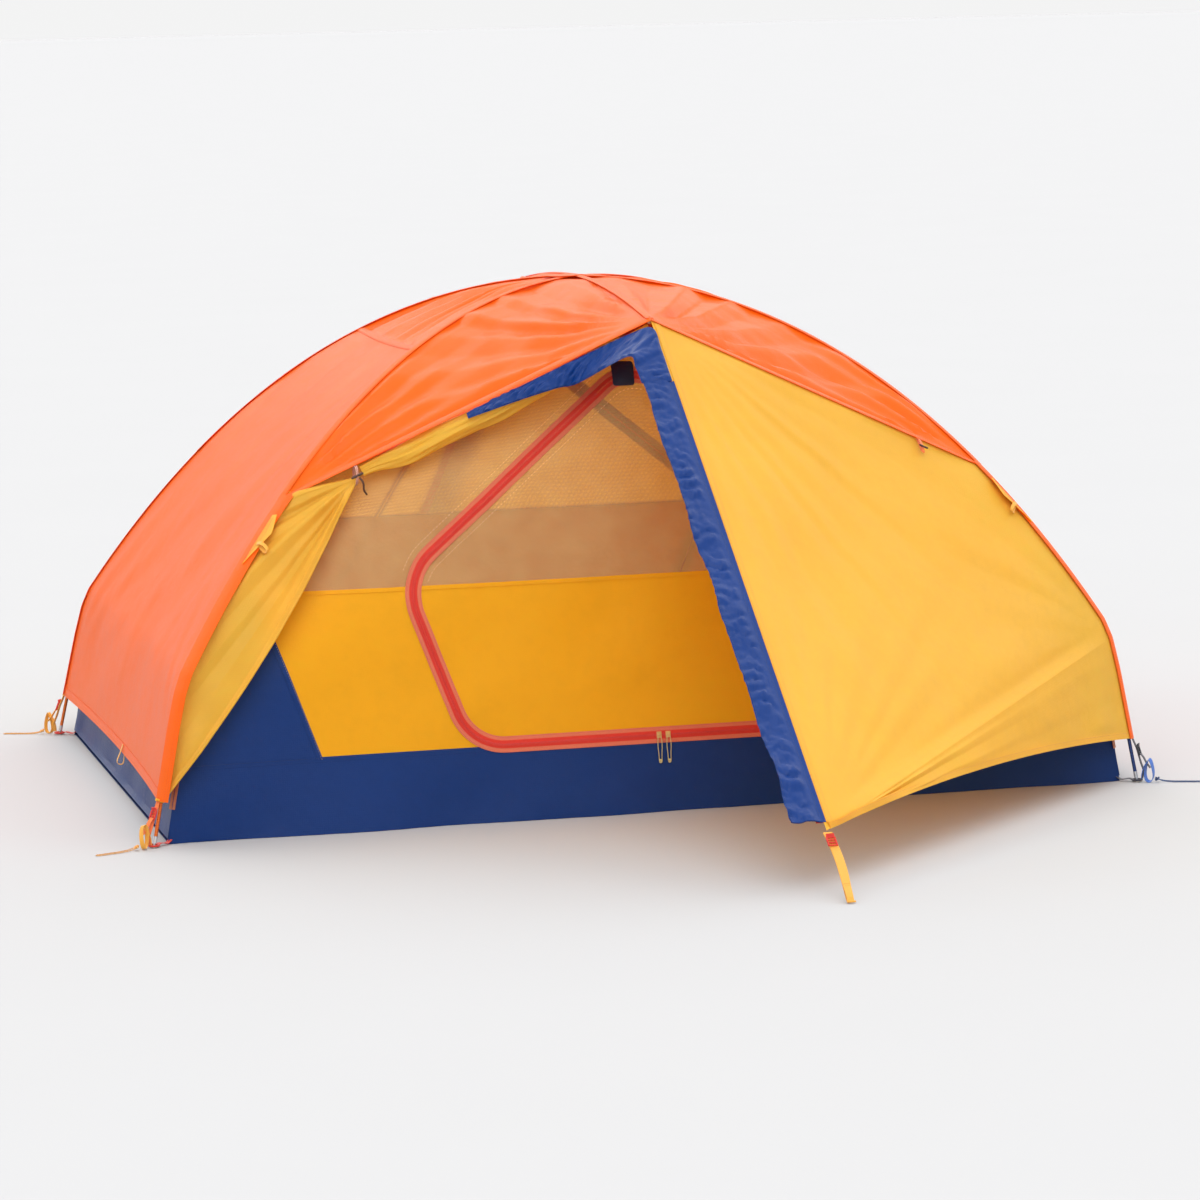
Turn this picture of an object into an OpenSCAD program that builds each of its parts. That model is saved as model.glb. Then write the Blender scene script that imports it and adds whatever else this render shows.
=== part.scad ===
// Three-person dome tent: two crossed main poles, a short brow pole, a hung inner tent
// and a fly with a vestibule on each long side.
// Origin: centre of the floor on the ground. X runs along the tent, -Y is the front door side.

/* [Frame] */
// Distance of each pole foot from the centre along X
foot_x = 1198; // [1150:1:1250]
// Distance of each pole foot from the centre along Y
foot_y = 872; // [840:1:910]
// Height of the crown, on the pole centre line
crown_h = 1212; // [1150:1:1260]
// Sideways lean of the crown towards +X
crown_shift = 43; // [0:1:60]
// Height of the bend at the top of each leg
kink_h = 361; // [330:1:390]
// Outer diameter of the pole tube
pole_d = 8.6; // [8:0.1:9.5]
// Wall thickness of the pole tube
pole_wall = 0.7; // [0.5:0.1:1]
// Reach of the brow pole from the centre line
brow_y = 740; // [700:1:780]
// Drop of the brow pole from crown to tip
brow_drop = 60; // [40:1:80]

/* [Inner tent] */
// Height of the waterproof tub wall
tub_h = 172; // [150:1:200]
// Height of the solid lower wall
lower_h = 552; // [500:1:600]
// Inward lean of the front and back walls, in mm per mm of height
wall_lean = 0.175; // [0.15:0.005:0.2]
// Distance from the pole centre line to the inner tent
inner_gap = 40; // [30:1:50]

/* [Fly] */
// Height of the fly hem above the ground at the pole feet
hem_h = 104; // [80:1:130]
// Sideways place of the vestibule point
point_x = 110; // [80:1:180]
// Reach of the vestibule point from the centre line
point_y = 1920; // [1800:5:2000]
// Height of the vestibule point above the ground
point_h = 133; // [100:1:160]
// Distance from the vestibule point to the place where its strap is staked
stake_reach = 150; // [120:5:180]
// Distance along the pole at which the brow seam meets it
seam_s = 1060; // [1000:5:1120]
// Width of the storm flap over each fly zip
flap_w = 90; // [60:1:110]

/* [Hidden] */

$fn = 32;
pole_r = pole_d / 2;
bore_r = pole_r - pole_wall;
cloth_t = 1.6;        // thickness that stands for every cloth panel
seam_gap = 3;         // gap left between neighbouring panels
fly_gap = 9;          // distance from a pole's centre line to the fly
bow_2 = 0.367;        // square term of the arch, per metre of half span
bow_4 = 0.034;        // fourth-power term of the arch
foot_s = norm([foot_x, foot_y]);
run = [foot_x, foot_y] / foot_s;
kink_s = s_on_arch(kink_h);
leg_slope = -kink_h / (foot_s - kink_s);
roof_s = 600;         // place of the seam between roof and end panels along the poles
stack_a = 2 * pole_d + 1;   // how far pole A passes below the brow pole at the crown
stack_b = pole_d + 0.5;     // how far pole B passes below it
SIDES = [[-1, -1], [1, -1], [-1, 1], [1, 1]];

orange = [1.0, 0.44, 0.25];
amber = [0.99, 0.77, 0.35];
gold = [0.97, 0.68, 0.16];
navy = [0.12, 0.22, 0.45];
flap_blue = [0.06, 0.31, 0.66];
zip_red = [0.91, 0.19, 0.12];
mesh_tan = [0.93, 0.75, 0.5, 0.6];
dark = [0.15, 0.15, 0.2];

// ---------- small mathematics ----------
function mix(a, b, t) = a + (b - a) * t;
function unit(v) = v / norm(v);
function flat(lists) = [for (l = lists) each l];
function reversed(l) = [for (i = [len(l) - 1:-1:0]) l[i]];
function steps(a, b, n) = [for (i = [0:n]) mix(a, b, i / n)];

// ---------- pole line: height, distance and normal ----------
function s_on_arch(z) =
    1000 * sqrt((sqrt(bow_2 * bow_2 + 4 * bow_4 * (crown_h - z) / 1000) - bow_2) / (2 * bow_4));
function arch_z(s) = s <= kink_s
    ? crown_h - 1000 * (bow_2 * pow(s / 1000, 2) + bow_4 * pow(s / 1000, 4))
    : leg_slope * (s - foot_s);
function arch_slope(s) = s <= kink_s
    ? -(2 * bow_2 * s / 1000 + 4 * bow_4 * pow(s / 1000, 3))
    : leg_slope;
function s_at(z) = z < kink_h ? foot_s + z / leg_slope : s_on_arch(z);
function lean(z) = crown_shift * z / crown_h;
function sag(s, drop) = drop * max(0, 1 - pow(s / kink_s, 2));
// A point on the pole line: side is [x sign, y sign], s runs from the crown to the foot
function axis_pt(side, s, drop = 0) =
    let (z = arch_z(s) - sag(s, drop))
    [side[0] * s * run[0] + lean(z), side[1] * s * run[1], z];
// The same point moved off the pole line by a distance, outward when positive
function skin_pt(side, s, off) =
    let (n = unit([-arch_slope(s), 1]), q = s + off * n[0], z = arch_z(s) + off * n[1])
    [side[0] * q * run[0] + lean(z), side[1] * q * run[1], z];
function fly_pt(side, s) = skin_pt(side, s, fly_gap);
function inner_pt(side, s) = skin_pt(side, s, -inner_gap);
function brow_z(y) = crown_h - brow_drop * pow(y / brow_y, 2);
function brow_pt(y, off = 0) = [lean(brow_z(y)), y, brow_z(y) + off];

// ---------- fly landmarks, for the front (f = -1) or the back (f = 1) ----------
function tip(f) = brow_pt(f * brow_y, fly_gap) + [0, f * 6, 0];
function point(f) = [-f * point_x, f * point_y, point_h];
function zip_at(f, t) = mix(tip(f), point(f), t);
function zip_dir(f) = unit(point(f) - tip(f));
function zip_len(f) = norm(point(f) - tip(f));
function flap_dir(f) = let (d = zip_dir(f), w = [f, 0, 0]) unit(w - (w * d) * d);
function flap_out(f) = let (n = cross(flap_dir(f), zip_dir(f))) n[2] > 0 ? n : -n;
hem_s = s_at(hem_h);

// ---------- builders ----------
// A thin closed panel through a grid of points, offset both ways along its normals
function grid_normal(g, i, j) =
    let (m = len(g) - 1, n = len(g[0]) - 1,
         du = g[min(i + 1, m)][j] - g[max(i - 1, 0)][j],
         dv = g[i][min(j + 1, n)] - g[i][max(j - 1, 0)])
    unit(cross(du, dv));
module panel(g, t = cloth_t) {
    m = len(g);
    n = len(g[0]);
    top = [for (i = [0:m - 1], j = [0:n - 1]) g[i][j] + grid_normal(g, i, j) * t / 2];
    low = [for (i = [0:m - 1], j = [0:n - 1]) g[i][j] - grid_normal(g, i, j) * t / 2];
    k = m * n;
    cells = [for (i = [0:m - 2], j = [0:n - 2]) [i * n + j, (i + 1) * n + j,
                                                (i + 1) * n + j + 1, i * n + j + 1]];
    up = flat([for (c = cells) [[c[0], c[2], c[1]], [c[0], c[3], c[2]]]]);
    down = flat([for (c = cells) [[c[0], c[1], c[2]] + [k, k, k], [c[0], c[2], c[3]] + [k, k, k]]]);
    rim = concat([for (i = [0:m - 2]) i * n], [for (j = [0:n - 2]) (m - 1) * n + j],
                 [for (i = [m - 1:-1:1]) i * n + n - 1], [for (j = [n - 1:-1:1]) j]);
    wall = flat([for (i = [0:len(rim) - 1]) let (a = rim[i], b = rim[(i + 1) % len(rim)])
                 [[a, b, b + k], [a, b + k, a + k]]]);
    polyhedron(concat(top, low), concat(up, down, wall));
}
// A straight row of points between two ends, held back from both ends by a margin
function row(a, b, n, margin = seam_gap) =
    let (e = min(0.3, margin / max(1, norm(b - a)))) [for (t = steps(e, 1 - e, n)) mix(a, b, t)];
// A tube of equal rings along a list of points
module swept(path, r, sides = 8) {
    m = len(path);
    tangents = [for (i = [0:m - 1]) unit(path[min(i + 1, m - 1)] - path[max(i - 1, 0)])];
    rings = flat([for (i = [0:m - 1])
        let (t = tangents[i], a = unit(cross(abs(t[2]) > 0.9 ? [1, 0, 0] : [0, 0, 1], t)),
             b = cross(t, a))
        [for (k = [0:sides - 1]) path[i] + r * (a * cos(360 * k / sides) + b * sin(360 * k / sides))]]);
    skin = flat([for (i = [0:m - 2], k = [0:sides - 1])
        let (p = i * sides + k, q = i * sides + (k + 1) % sides)
        [[p, p + sides, q + sides], [p, q + sides, q]]]);
    polyhedron(rings, concat(skin, [[for (k = [0:sides - 1]) k]],
                             [[for (k = [sides - 1:-1:0]) (m - 1) * sides + k]]));
}
// Places children with their Z axis along direction d at p, and their X axis near x
module aim(p, d, x = [0, 0, 1]) {
    w = unit(d);
    v = unit(cross(w, abs(w * unit(x)) > 0.99 ? [1, 0.1, 0] : x));
    u = cross(v, w);
    multmatrix([[u[0], v[0], w[0], p[0]], [u[1], v[1], w[1], p[1]], [u[2], v[2], w[2], p[2]]])
        children();
}
module rod(a, b, r, bore = 0) {
    aim(a, b - a) difference() {
        cylinder(r = r, h = norm(b - a));
        if (bore > 0) translate([0, 0, -1]) cylinder(r = bore, h = norm(b - a) + 2);
    }
}
// A flat strap between two points, with its width along w
module strap(a, b, w, width, t = 1.6) {
    aim(a, b - a, w) translate([-width / 2, -t / 2, 0]) cube([width, t, norm(b - a)]);
}
// A tube bent along the circle through three points
module arc_tube(a, m, b, r, bore) {
    u = m - a;
    v = b - a;
    n = cross(u, v);
    c = a + (cross(n, u) * (v * v) + cross(v, n) * (u * u)) / (2 * (n * n));
    ex = unit(a - c);
    ez = unit(cross(a - c, b - c));
    ey = cross(ez, ex);
    radius = norm(a - c);
    turn = 2 * asin(norm(b - a) / 2 / radius);
    multmatrix([[ex[0], ey[0], ez[0], c[0]], [ex[1], ey[1], ez[1], c[1]], [ex[2], ey[2], ez[2], c[2]]])
        rotate_extrude(angle = turn, $fn = 720) translate([radius, 0]) difference() {
            circle(r = r, $fn = 24);
            if (bore > 0) circle(r = bore, $fn = 24);
        }
}

// ---------- poles ----------
joint_s = [200, 600, 940, 1230];   // places of the ferrules along each half pole
butt = 0.6;                        // half the gap between two pole sections
tip_len = 26;                      // length of leg taken by the tip
leg_dir = unit([foot_s - kink_s, -kink_h]);
function leg_pt(side, back) =
    let (q = foot_s - leg_dir[0] * back, z = -leg_dir[1] * back)
    [side[0] * q * run[0] + lean(z), side[1] * q * run[1], z];
module arc_section(side, s0, s1, drop) {
    arc_tube(axis_pt(side, s0, drop), axis_pt(side, (s0 + s1) / 2, drop), axis_pt(side, s1, drop),
             pole_r, bore_r);
}
module half_pole(side, drop) {
    for (i = [0:len(joint_s) - 2]) arc_section(side, joint_s[i] + butt, joint_s[i + 1] - butt, drop);
    arc_section(side, joint_s[3] + butt, kink_s - butt, drop);
    rod(leg_pt(side, tip_len), axis_pt(side, kink_s + 0.3), pole_r, bore_r);
}
module crown_section(side, drop) {
    s = joint_s[0] - butt;
    arc_tube(axis_pt(side, -s, drop), axis_pt(side, 0, drop), axis_pt(side, s, drop), pole_r, bore_r);
}
module pole_a_left() color("darkorange") half_pole([-1, -1], stack_a);
module pole_a_right() color("midnightblue") {
    half_pole([1, 1], stack_a);
    crown_section([1, 1], stack_a);
}
module pole_b_left() color("darkorange") half_pole([-1, 1], stack_b);
module pole_b_right() color("midnightblue") {
    half_pole([1, -1], stack_b);
    crown_section([1, -1], stack_b);
}
brow_joint = 240;
module brow_pole() color("slategray") {
    e = brow_joint + butt;
    for (f = [-1, 1])
        arc_tube(brow_pt(f * e), brow_pt(f * (e + brow_y - 12) / 2), brow_pt(f * (brow_y - 12)),
                 pole_r, bore_r);
    arc_tube(brow_pt(-brow_joint + butt), brow_pt(0), brow_pt(brow_joint - butt), pole_r, bore_r);
}
ferrule_half = 38;
module pole_ferrules() color("silver") {
    fit = bore_r - 0.25;
    for (side = SIDES) {
        drop = side[0] == side[1] ? stack_a : stack_b;
        for (s = joint_s)
            arc_tube(axis_pt(side, s - ferrule_half, drop), axis_pt(side, s, drop),
                     axis_pt(side, s + ferrule_half * 0.8, drop), fit, fit - 0.7);
    }
    for (y = [-brow_joint, brow_joint])
        arc_tube(brow_pt(y - ferrule_half), brow_pt(y), brow_pt(y + ferrule_half), fit, fit - 0.7);
}
module pole_tips() color("silver") {
    for (side = SIDES) {
        rod(leg_pt(side, tip_len + 16), leg_pt(side, tip_len - 0.6), bore_r - 0.1);
        rod(leg_pt(side, tip_len - 0.3), leg_pt(side, 11), pole_r + 0.4);
        rod(leg_pt(side, 11.4), leg_pt(side, 3), 2.6);
    }
    for (f = [-1, 1]) {
        rod(brow_pt(f * (brow_y - 30)), brow_pt(f * (brow_y - 11.6)), bore_r - 0.15);
        rod(brow_pt(f * (brow_y - 11.8)), brow_pt(f * (brow_y - 1)), pole_r);
    }
}
module shock_cords() color("white") {
    for (a = [[[-1, -1], [1, 1], stack_a], [[-1, 1], [1, -1], stack_b]]) {
        down = concat([45], [for (s = [110:110:1320]) s], [kink_s]);
        swept(concat([leg_pt(a[0], 60)], [for (s = reversed(down)) axis_pt(a[0], s, a[2])],
                     [for (s = down) axis_pt(a[1], s, a[2])], [leg_pt(a[1], 60)]), 1.2, 6);
    }
    swept([for (y = steps(-brow_y + 45, brow_y - 45, 12)) brow_pt(y)], 1.2, 6);
}
module crown_hub() color(dark) difference() {
    translate([lean(crown_h), 0, crown_h - stack_a - 13]) cylinder(r = 22, h = stack_a + 11);
    for (a = [[[1, 1], stack_a], [[1, -1], stack_b]])
        rod(axis_pt(a[0], -60, a[1]) + [0, 0, 1.3], axis_pt(a[0], 60, a[1]) + [0, 0, 1.3],
            pole_r + 0.55);
    rod(brow_pt(-60), brow_pt(60), pole_r + 0.5);
}
clip_s = [380, 760, 1080, 1310];   // places of the clips along each half pole
module pole_clip(p, along, inward) {
    reach = inner_gap - 16;
    aim(p - unit(along) * 9, along, inward) {
        difference() {
            cylinder(r = pole_r + 2.6, h = 18);
            translate([0, 0, -1]) cylinder(r = pole_r + 0.35, h = 20);
            translate([-12 - pole_r * 0.55, -9, -1]) cube([12, 18, 20]);
        }
        translate([pole_r + 1.6, -1.2, 2]) cube([reach - pole_r - 2, 2.4, 14]);
    }
}
module pole_clips() color(dark)
    for (side = SIDES, s = clip_s) {
        drop = side[0] == side[1] ? stack_a : stack_b;
        pole_clip(axis_pt(side, s, drop), axis_pt(side, s + 5, drop) - axis_pt(side, s - 5, drop),
                  inner_pt(side, s) - axis_pt(side, s, drop));
    }

// ---------- inner tent ----------
function wall_edge(side, z) = inner_pt(side, s_at(z));
wall_top = 1088;
// Depth of the front or back wall at height z, and how it bends round to the poles
wall_y0 = foot_y - 22;
function plane_y(z) = wall_y0 - wall_lean * z;
function bend_power(z) = mix(6, 1, max(0, min(1, (z - tub_h) / (wall_top - tub_h))));
function wall_pt(f, x, z) =
    let (e = wall_edge([x < lean(z) ? -1 : 1, f], z),
         t = min(1, (x - lean(z)) / (e[0] - lean(z))))
    [x, f * mix(plane_y(z), abs(e[1]), pow(max(0, t), bend_power(z))), z];
// Corners of the D-shaped door in the front wall, [x, z], and their radii
door_low = tub_h + 8;
door_corners = [[560, door_low], [-435, door_low], [-572, 573], [40, 1076]];
door_radii = [40, 120, 130, 100];
// An outline with round corners
function rounded(pts, radii, n = 6) = flat([for (i = [0:len(pts) - 1])
    let (p = pts[i], a = unit(pts[(i + len(pts) - 1) % len(pts)] - p),
         b = unit(pts[(i + 1) % len(pts)] - p), half = acos(a * b) / 2,
         c = p + unit(a + b) * radii[i] / sin(half),
         u = p + a * radii[i] / tan(half) - c, v = p + b * radii[i] / tan(half) - c,
         turn = 180 - 2 * half, w = u[0] * v[1] - u[1] * v[0] > 0 ? 1 : -1)
    [for (k = steps(0, turn, n)) c + [u[0] * cos(k) - w * u[1] * sin(k),
                                      w * u[0] * sin(k) + u[1] * cos(k)]]]);
door_outline = rounded(door_corners, door_radii);
door_gap = 14;      // gap between the outline and the wall on the curved side
hinge_gap = 22;     // and on the hinge side
// The outline moved outward by a distance, found from the directions of its edges
function shifted(pts, d) = [for (i = [0:len(pts) - 1])
    let (t = unit(pts[(i + 1) % len(pts)] - pts[(i + len(pts) - 1) % len(pts)]))
    pts[i] + d * [t[1], -t[0]] * -1];
// x of the door's curved side and of its hinge side at height z
wall_outline = shifted(door_outline, door_gap);
function door_x(z) = lookup(z, [for (p = wall_outline) if (p[0] < 30) [p[1], p[0]]]);
function hinge_x(z) = mix(door_corners[0][0], door_corners[3][0],
                          (z - door_low) / (door_corners[3][1] - door_low));
// Across a wall, u runs along +X on the front wall and along -X on the back wall
function edge_u(f, su, z) = -f * wall_edge([-f * su, f], z)[0] - su * seam_gap * 2;
function gusset_u(f, su, z) = su * (800 + (z - tub_h) * 0.38) - f * lean(z);
module wall_panel(f, rows, m, left, right)
    panel([for (z = rows) [for (u = steps(left(z), right(z), m)) wall_pt(f, -f * u, z)]]);
// Heights of the corners of the door outline on its curved side, between two limits
function door_rows(z0, z1) =
    concat([z0], [for (p = wall_outline) if (p[0] < 30 && p[1] > z0 + 4 && p[1] < z1 - 4) p[1]], [z1]);
module tub_floor() color(navy) {
    c = wall_edge([1, 1], 0);
    translate([-c[0] + 6, -c[1] + 6, 0]) cube([2 * c[0] - 12, 2 * c[1] - 12, 2]);
}
module tub_walls() color(navy) {
    for (f = [-1, 1])
        wall_panel(f, [3, tub_h / 2, tub_h - 3], 8, function(z) edge_u(f, -1, z), function(z) edge_u(f, 1, z));
    for (sx = [-1, 1])
        panel([for (z = steps(3, tub_h - 3, 2)) row(wall_edge([sx, -1], z), wall_edge([sx, 1], z), 6, 6)]);
}
module corner_gussets() color(navy)
    for (f = [-1, 1], su = [-1, 1])
        wall_panel(f, steps(tub_h + 3, lower_h - 3, 5), 2,
            function(z) su < 0 ? edge_u(f, -1, z) : gusset_u(f, 1, z),
            function(z) su < 0 ? gusset_u(f, -1, z) : edge_u(f, 1, z));
module inner_lower_walls() color(gold)
    for (f = [-1, 1]) {
        wall_panel(f, door_rows(tub_h + 3, lower_h - 3), 4,
            function(z) gusset_u(f, -1, z) + seam_gap, function(z) door_x(z));
        wall_panel(f, steps(tub_h + 3, lower_h - 3, 6), 4,
            function(z) hinge_x(z) + hinge_gap, function(z) gusset_u(f, 1, z) - seam_gap);
        panel([for (z = concat([tub_h + 3, 270], steps(kink_h, lower_h - 3, 3)))
               row(wall_edge([f, -1], z), wall_edge([f, 1], z), 6, 6)]);
    }
module inner_mesh_walls() color(mesh_tan)
    for (f = [-1, 1]) {
        wall_panel(f, door_rows(lower_h + 3, 1018), 6,
            function(z) edge_u(f, -1, z), function(z) door_x(z));
        wall_panel(f, steps(lower_h + 3, 1018, 8), 6,
            function(z) hinge_x(z) + hinge_gap, function(z) edge_u(f, 1, z));
        wall_panel(f, [1050, wall_top - 6], 8, function(z) edge_u(f, -1, z), function(z) edge_u(f, 1, z));
        panel([for (s = steps(s_at(lower_h + 4), 40, 9))
               row(inner_pt([f, -1], s), inner_pt([f, 1], s), 4, 6)]);
    }
roof_start = s_at(wall_top);
module inner_mesh_roof() color(mesh_tan)
    for (f = [-1, 1], sx = [-1, 1])
        panel([for (v = steps(0.01, 0.93, 5))
            let (y = f * mix(plane_y(wall_top), 0, v), z = mix(wall_top, crown_h - inner_gap, 1 - pow(1 - v, 2)))
            row([lean(z), y, z], inner_pt([sx, f], roof_start * (1 - v)), 4)]);
// ---------- inner doors: plates in the plane of the wall ----------
plane_tilt = atan(wall_lean);
function plane_up(p) = [p[0], p[1] / cos(plane_tilt)];
module wall_frame(f)
    rotate([0, 0, f < 0 ? 0 : 180]) translate([0, -wall_y0, 0]) rotate([90 - plane_tilt, 0, 0]) children();
module on_wall(f, t = cloth_t, out = 0)
    wall_frame(f) translate([0, 0, out - t / 2]) linear_extrude(t) children();
door_margin = 11;
module door_shape() polygon([for (p = shifted(door_outline, -door_margin)) plane_up(p)]);
module door_lower(f) color(gold) on_wall(f) intersection() {
    door_shape();
    translate([-700, 0]) square([1400, lower_h / cos(plane_tilt) - 2]);
}
module door_mesh(f) color(mesh_tan) on_wall(f) difference() {
    door_shape();
    translate([-700, 0]) square([1400, lower_h / cos(plane_tilt) + 2]);
}
module front_door_lower() door_lower(-1);
module front_door_mesh() door_mesh(-1);
module back_door_lower() door_lower(1);
module back_door_mesh() door_mesh(1);
zip_w = 12;
zip_t = 3;
// The zip follows the outline from the foot of the hinge side, round to its top
module door_zip(f) color(zip_red) on_wall(f, zip_t) {
    out = shifted(door_outline, zip_w / 2);
    low = shifted(door_outline, -zip_w / 2);
    n = len(door_outline) - 4;
    polygon([for (p = concat([for (i = [4:n]) out[i]], [for (i = [n:-1:4]) low[i]])) plane_up(p)]);
}
module door_zips()
    for (f = [-1, 1]) door_zip(f);

// A patch that covers the top end of each door zip
module zip_garages() color(dark)
    for (f = [-1, 1]) on_wall(f, 1.6, 4) translate([-34, 1000 / cos(plane_tilt)]) square([45, 50]);

// ---------- zip sliders ----------
slider_l = 12;
// A slider body in the frame of its zip: X along the zip, Y across it, Z out of the cloth
module slider_body(across, thick) {
    difference() {
        translate([-slider_l / 2, -across / 2 - 1.6, -thick / 2 - 1.6])
            cube([slider_l, across + 3.2, thick + 3.2]);
        translate([-slider_l / 2 - 1, -across / 2 - 0.5, -thick / 2 - 0.5])
            cube([slider_l + 2, across + 1, thick + 1]);
    }
    translate([-4, -1, thick / 2 + 1.6]) difference() {
        cube([8, 2, 5]);
        translate([4, -1, 2.4]) rotate([-90, 0, 0]) cylinder(r = 1.5, h = 4);
    }
}
slider_x = [20, 42];
module door_slider(f, x) color("khaki")
    wall_frame(f) translate([x, door_low / cos(plane_tilt), 0]) slider_body(zip_w, zip_t);
module front_slider_left() door_slider(-1, slider_x[0]);
module front_slider_right() door_slider(-1, slider_x[1]);
module back_slider_left() door_slider(1, slider_x[0]);
module back_slider_right() door_slider(1, slider_x[1]);
// Route of a cord pull below its slider, from the slider's eye down to the knot and back up
pull_route = [[-2, -9, -2], [-4, -10, -7], [-5, -11, -16], [-5, -12, -28], [-4, -13, -40],
              [-3.5, -14, -52], [-3.5, -15, -60], [-2.5, -15, -64], [0, -15, -65.5], [2.5, -15, -64],
              [3.5, -15, -60], [3.5, -14, -52], [4, -13, -40], [5, -12, -28], [5, -11, -16],
              [4, -10, -7], [2, -9, -2]];
pull_r = 0.9;
module door_pull(f, x) color("khaki")
    rotate([0, 0, f < 0 ? 0 : 180]) translate([x, -plane_y(door_low), door_low])
        swept(pull_route, pull_r);
module front_pull_left() door_pull(-1, slider_x[0]);
module front_pull_right() door_pull(-1, slider_x[1]);
module back_pull_left() door_pull(1, slider_x[0]);
module back_pull_right() door_pull(1, slider_x[1]);

// ---------- fly ----------
fly_start = 6;     // distance from the crown at which the fly panels begin
module fly_side(sx) color(orange) {
    panel([for (s = steps(fly_start, roof_s - 2, 5)) row(fly_pt([sx, -1], s), fly_pt([sx, 1], s), 4)]);
    panel([for (s = concat(steps(roof_s + 2, kink_s, 8), [mix(kink_s, hem_s, 0.5), hem_s]))
           row(fly_pt([sx, -1], s), fly_pt([sx, 1], s), 5)]);
}
module fly_left() fly_side(-1);
module fly_right() fly_side(1);
module fly_brow_panels() color(orange)
    for (f = [-1, 1], sx = [-1, 1])
        panel([for (v = concat([0.014], steps(0.15, 0.996, 6)))
               row(mix(brow_pt(f * brow_y * v, fly_gap), tip(f), pow(v, 8)), fly_pt([sx, f], seam_s * v), 5)]);
// A closed vestibule half: a main panel from the brow seam to the tension seam, and a low one
module vestibule(f, sx) color(amber) {
    panel([for (r = steps(0.006, 0.994, 7))
           row(zip_at(f, r), fly_pt([sx, f], mix(seam_s, kink_s, r)), 7)]);
    panel([for (r = steps(0.02, 1, 3))
           row(mix(point(f), fly_pt([sx, f], kink_s), 0.03),
               fly_pt([sx, f], mix(kink_s, hem_s, r)) + [0, f * 1.5, 0], 8)]);
}
module vestibule_front_right() vestibule(-1, 1);
module vestibule_back_right() vestibule(1, 1);
module vestibule_back_left() vestibule(1, -1);
// The front left half, gathered under the brow seam and tied back
tie_t = 0.80;       // place of the tie along the brow seam
function seam_pt(f, sx, t) = mix(tip(f), fly_pt([sx, f], seam_s), t);
tie = seam_pt(-1, -1, tie_t) + [6, -8, -30];
module vestibule_front_left() color(amber) {
    swept([for (t = steps(0.05, tie_t - 0.04, 6)) seam_pt(-1, -1, t) + [8, 6, -26 - 12 * t]], 17, 10);
    corner = fly_pt([-1, -1], hem_s);
    hung = concat(steps(seam_s + 6, kink_s, 6), [mix(kink_s, hem_s, 0.5), hem_s]);
    panel([for (i = [0:len(hung) - 1]) let (r = mix(0.01, 0.96, i / (len(hung) - 1)))
           row(fly_pt([-1, -1], hung[i]) + [0, -7, -4],
               mix(tie, corner, r) + sin(180 * r) * [20, -62, 0], 4, 5)], 6);
}
// A storm flap is a strip that folds about the zip line, and its head stays under the brow seam
flap_start = 0.13;
module storm_flap(f) color(flap_blue)
    panel([for (t = steps(flap_start + 0.004, 0.985, 3))
           [for (w = [4, flap_w / 2, flap_w]) zip_at(f, t) + flap_dir(f) * w + flap_out(f) * 1]]);
module storm_flap_front() storm_flap(-1);
module storm_flap_back() storm_flap(1);
module storm_flap_heads() color(flap_blue)
    for (f = [-1, 1]) {
        panel([for (t = steps(0.03, flap_start - 0.004, 2))
               [for (w = [4, flap_w / 2, flap_w]) zip_at(f, t) + flap_dir(f) * w + flap_out(f) * 1]]);
        panel([for (t = steps(0.13, 0.5, 4))
               [for (w = [8, mix(62, 18, (t - 0.13) / 0.37)])
                f < 0 ? seam_pt(f, f, t) + [0, -17, -w] : on_half(f, f, t, w, 4)]]);
    }
fly_zip_w = 8;
fly_zip_off = 7;
module fly_zip_frame(f, t) aim(zip_at(f, t) - flap_out(f) * fly_zip_off, zip_dir(f), flap_dir(f)) children();
module fly_zips() color(zip_red)
    for (f = [-1, 1]) fly_zip_frame(f, 0.04)
        translate([-fly_zip_w / 2, -1, 0]) cube([fly_zip_w, 2, zip_len(f) * 0.94]);
fly_slider_t = 0.07;
module fly_slider(f) color("dimgray") fly_zip_frame(f, fly_slider_t) rotate([0, -90, 0])
    rotate([90, 0, 0]) slider_body(fly_zip_w, 2);
module fly_slider_front() fly_slider(-1);
module fly_slider_back() fly_slider(1);

// ---------- trims on the fly ----------
// A point on a closed half: t along the brow seam, w down beside the zip, off outward from the cloth
function half_normal(f, sx) =
    let (n = unit(cross(fly_pt([sx, f], seam_s) - tip(f), point(f) - tip(f)))) n[2] > 0 ? n : -n;
function on_half(f, sx, t, w, off) = seam_pt(f, sx, t) + zip_dir(f) * w + half_normal(f, sx) * off;
module tieback_loops() color("sienna")
    for (f = [-1, 1], sx = [-1, 1]) {
        p = seam_pt(f, sx, tie_t);
        along = unit(fly_pt([sx, f], seam_s) - tip(f));
        if (f < 0 && sx < 0) strap(p + [0, -14, -8], p + [0, -18, -60], along, 8);
        else strap(on_half(f, sx, tie_t, 10, 7), on_half(f, sx, tie_t, 54, 9), along, 8);
    }
module tieback_toggles() color("saddlebrown")
    for (f = [-1, 1], sx = [-1, 1]) {
        along = unit(fly_pt([sx, f], seam_s) - tip(f));
        p = f < 0 && sx < 0 ? seam_pt(f, sx, tie_t) + [0, -25, -40] : on_half(f, sx, tie_t, 46, 14);
        rod(p - along * 13, p + along * 13, 2.6);
    }
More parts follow.
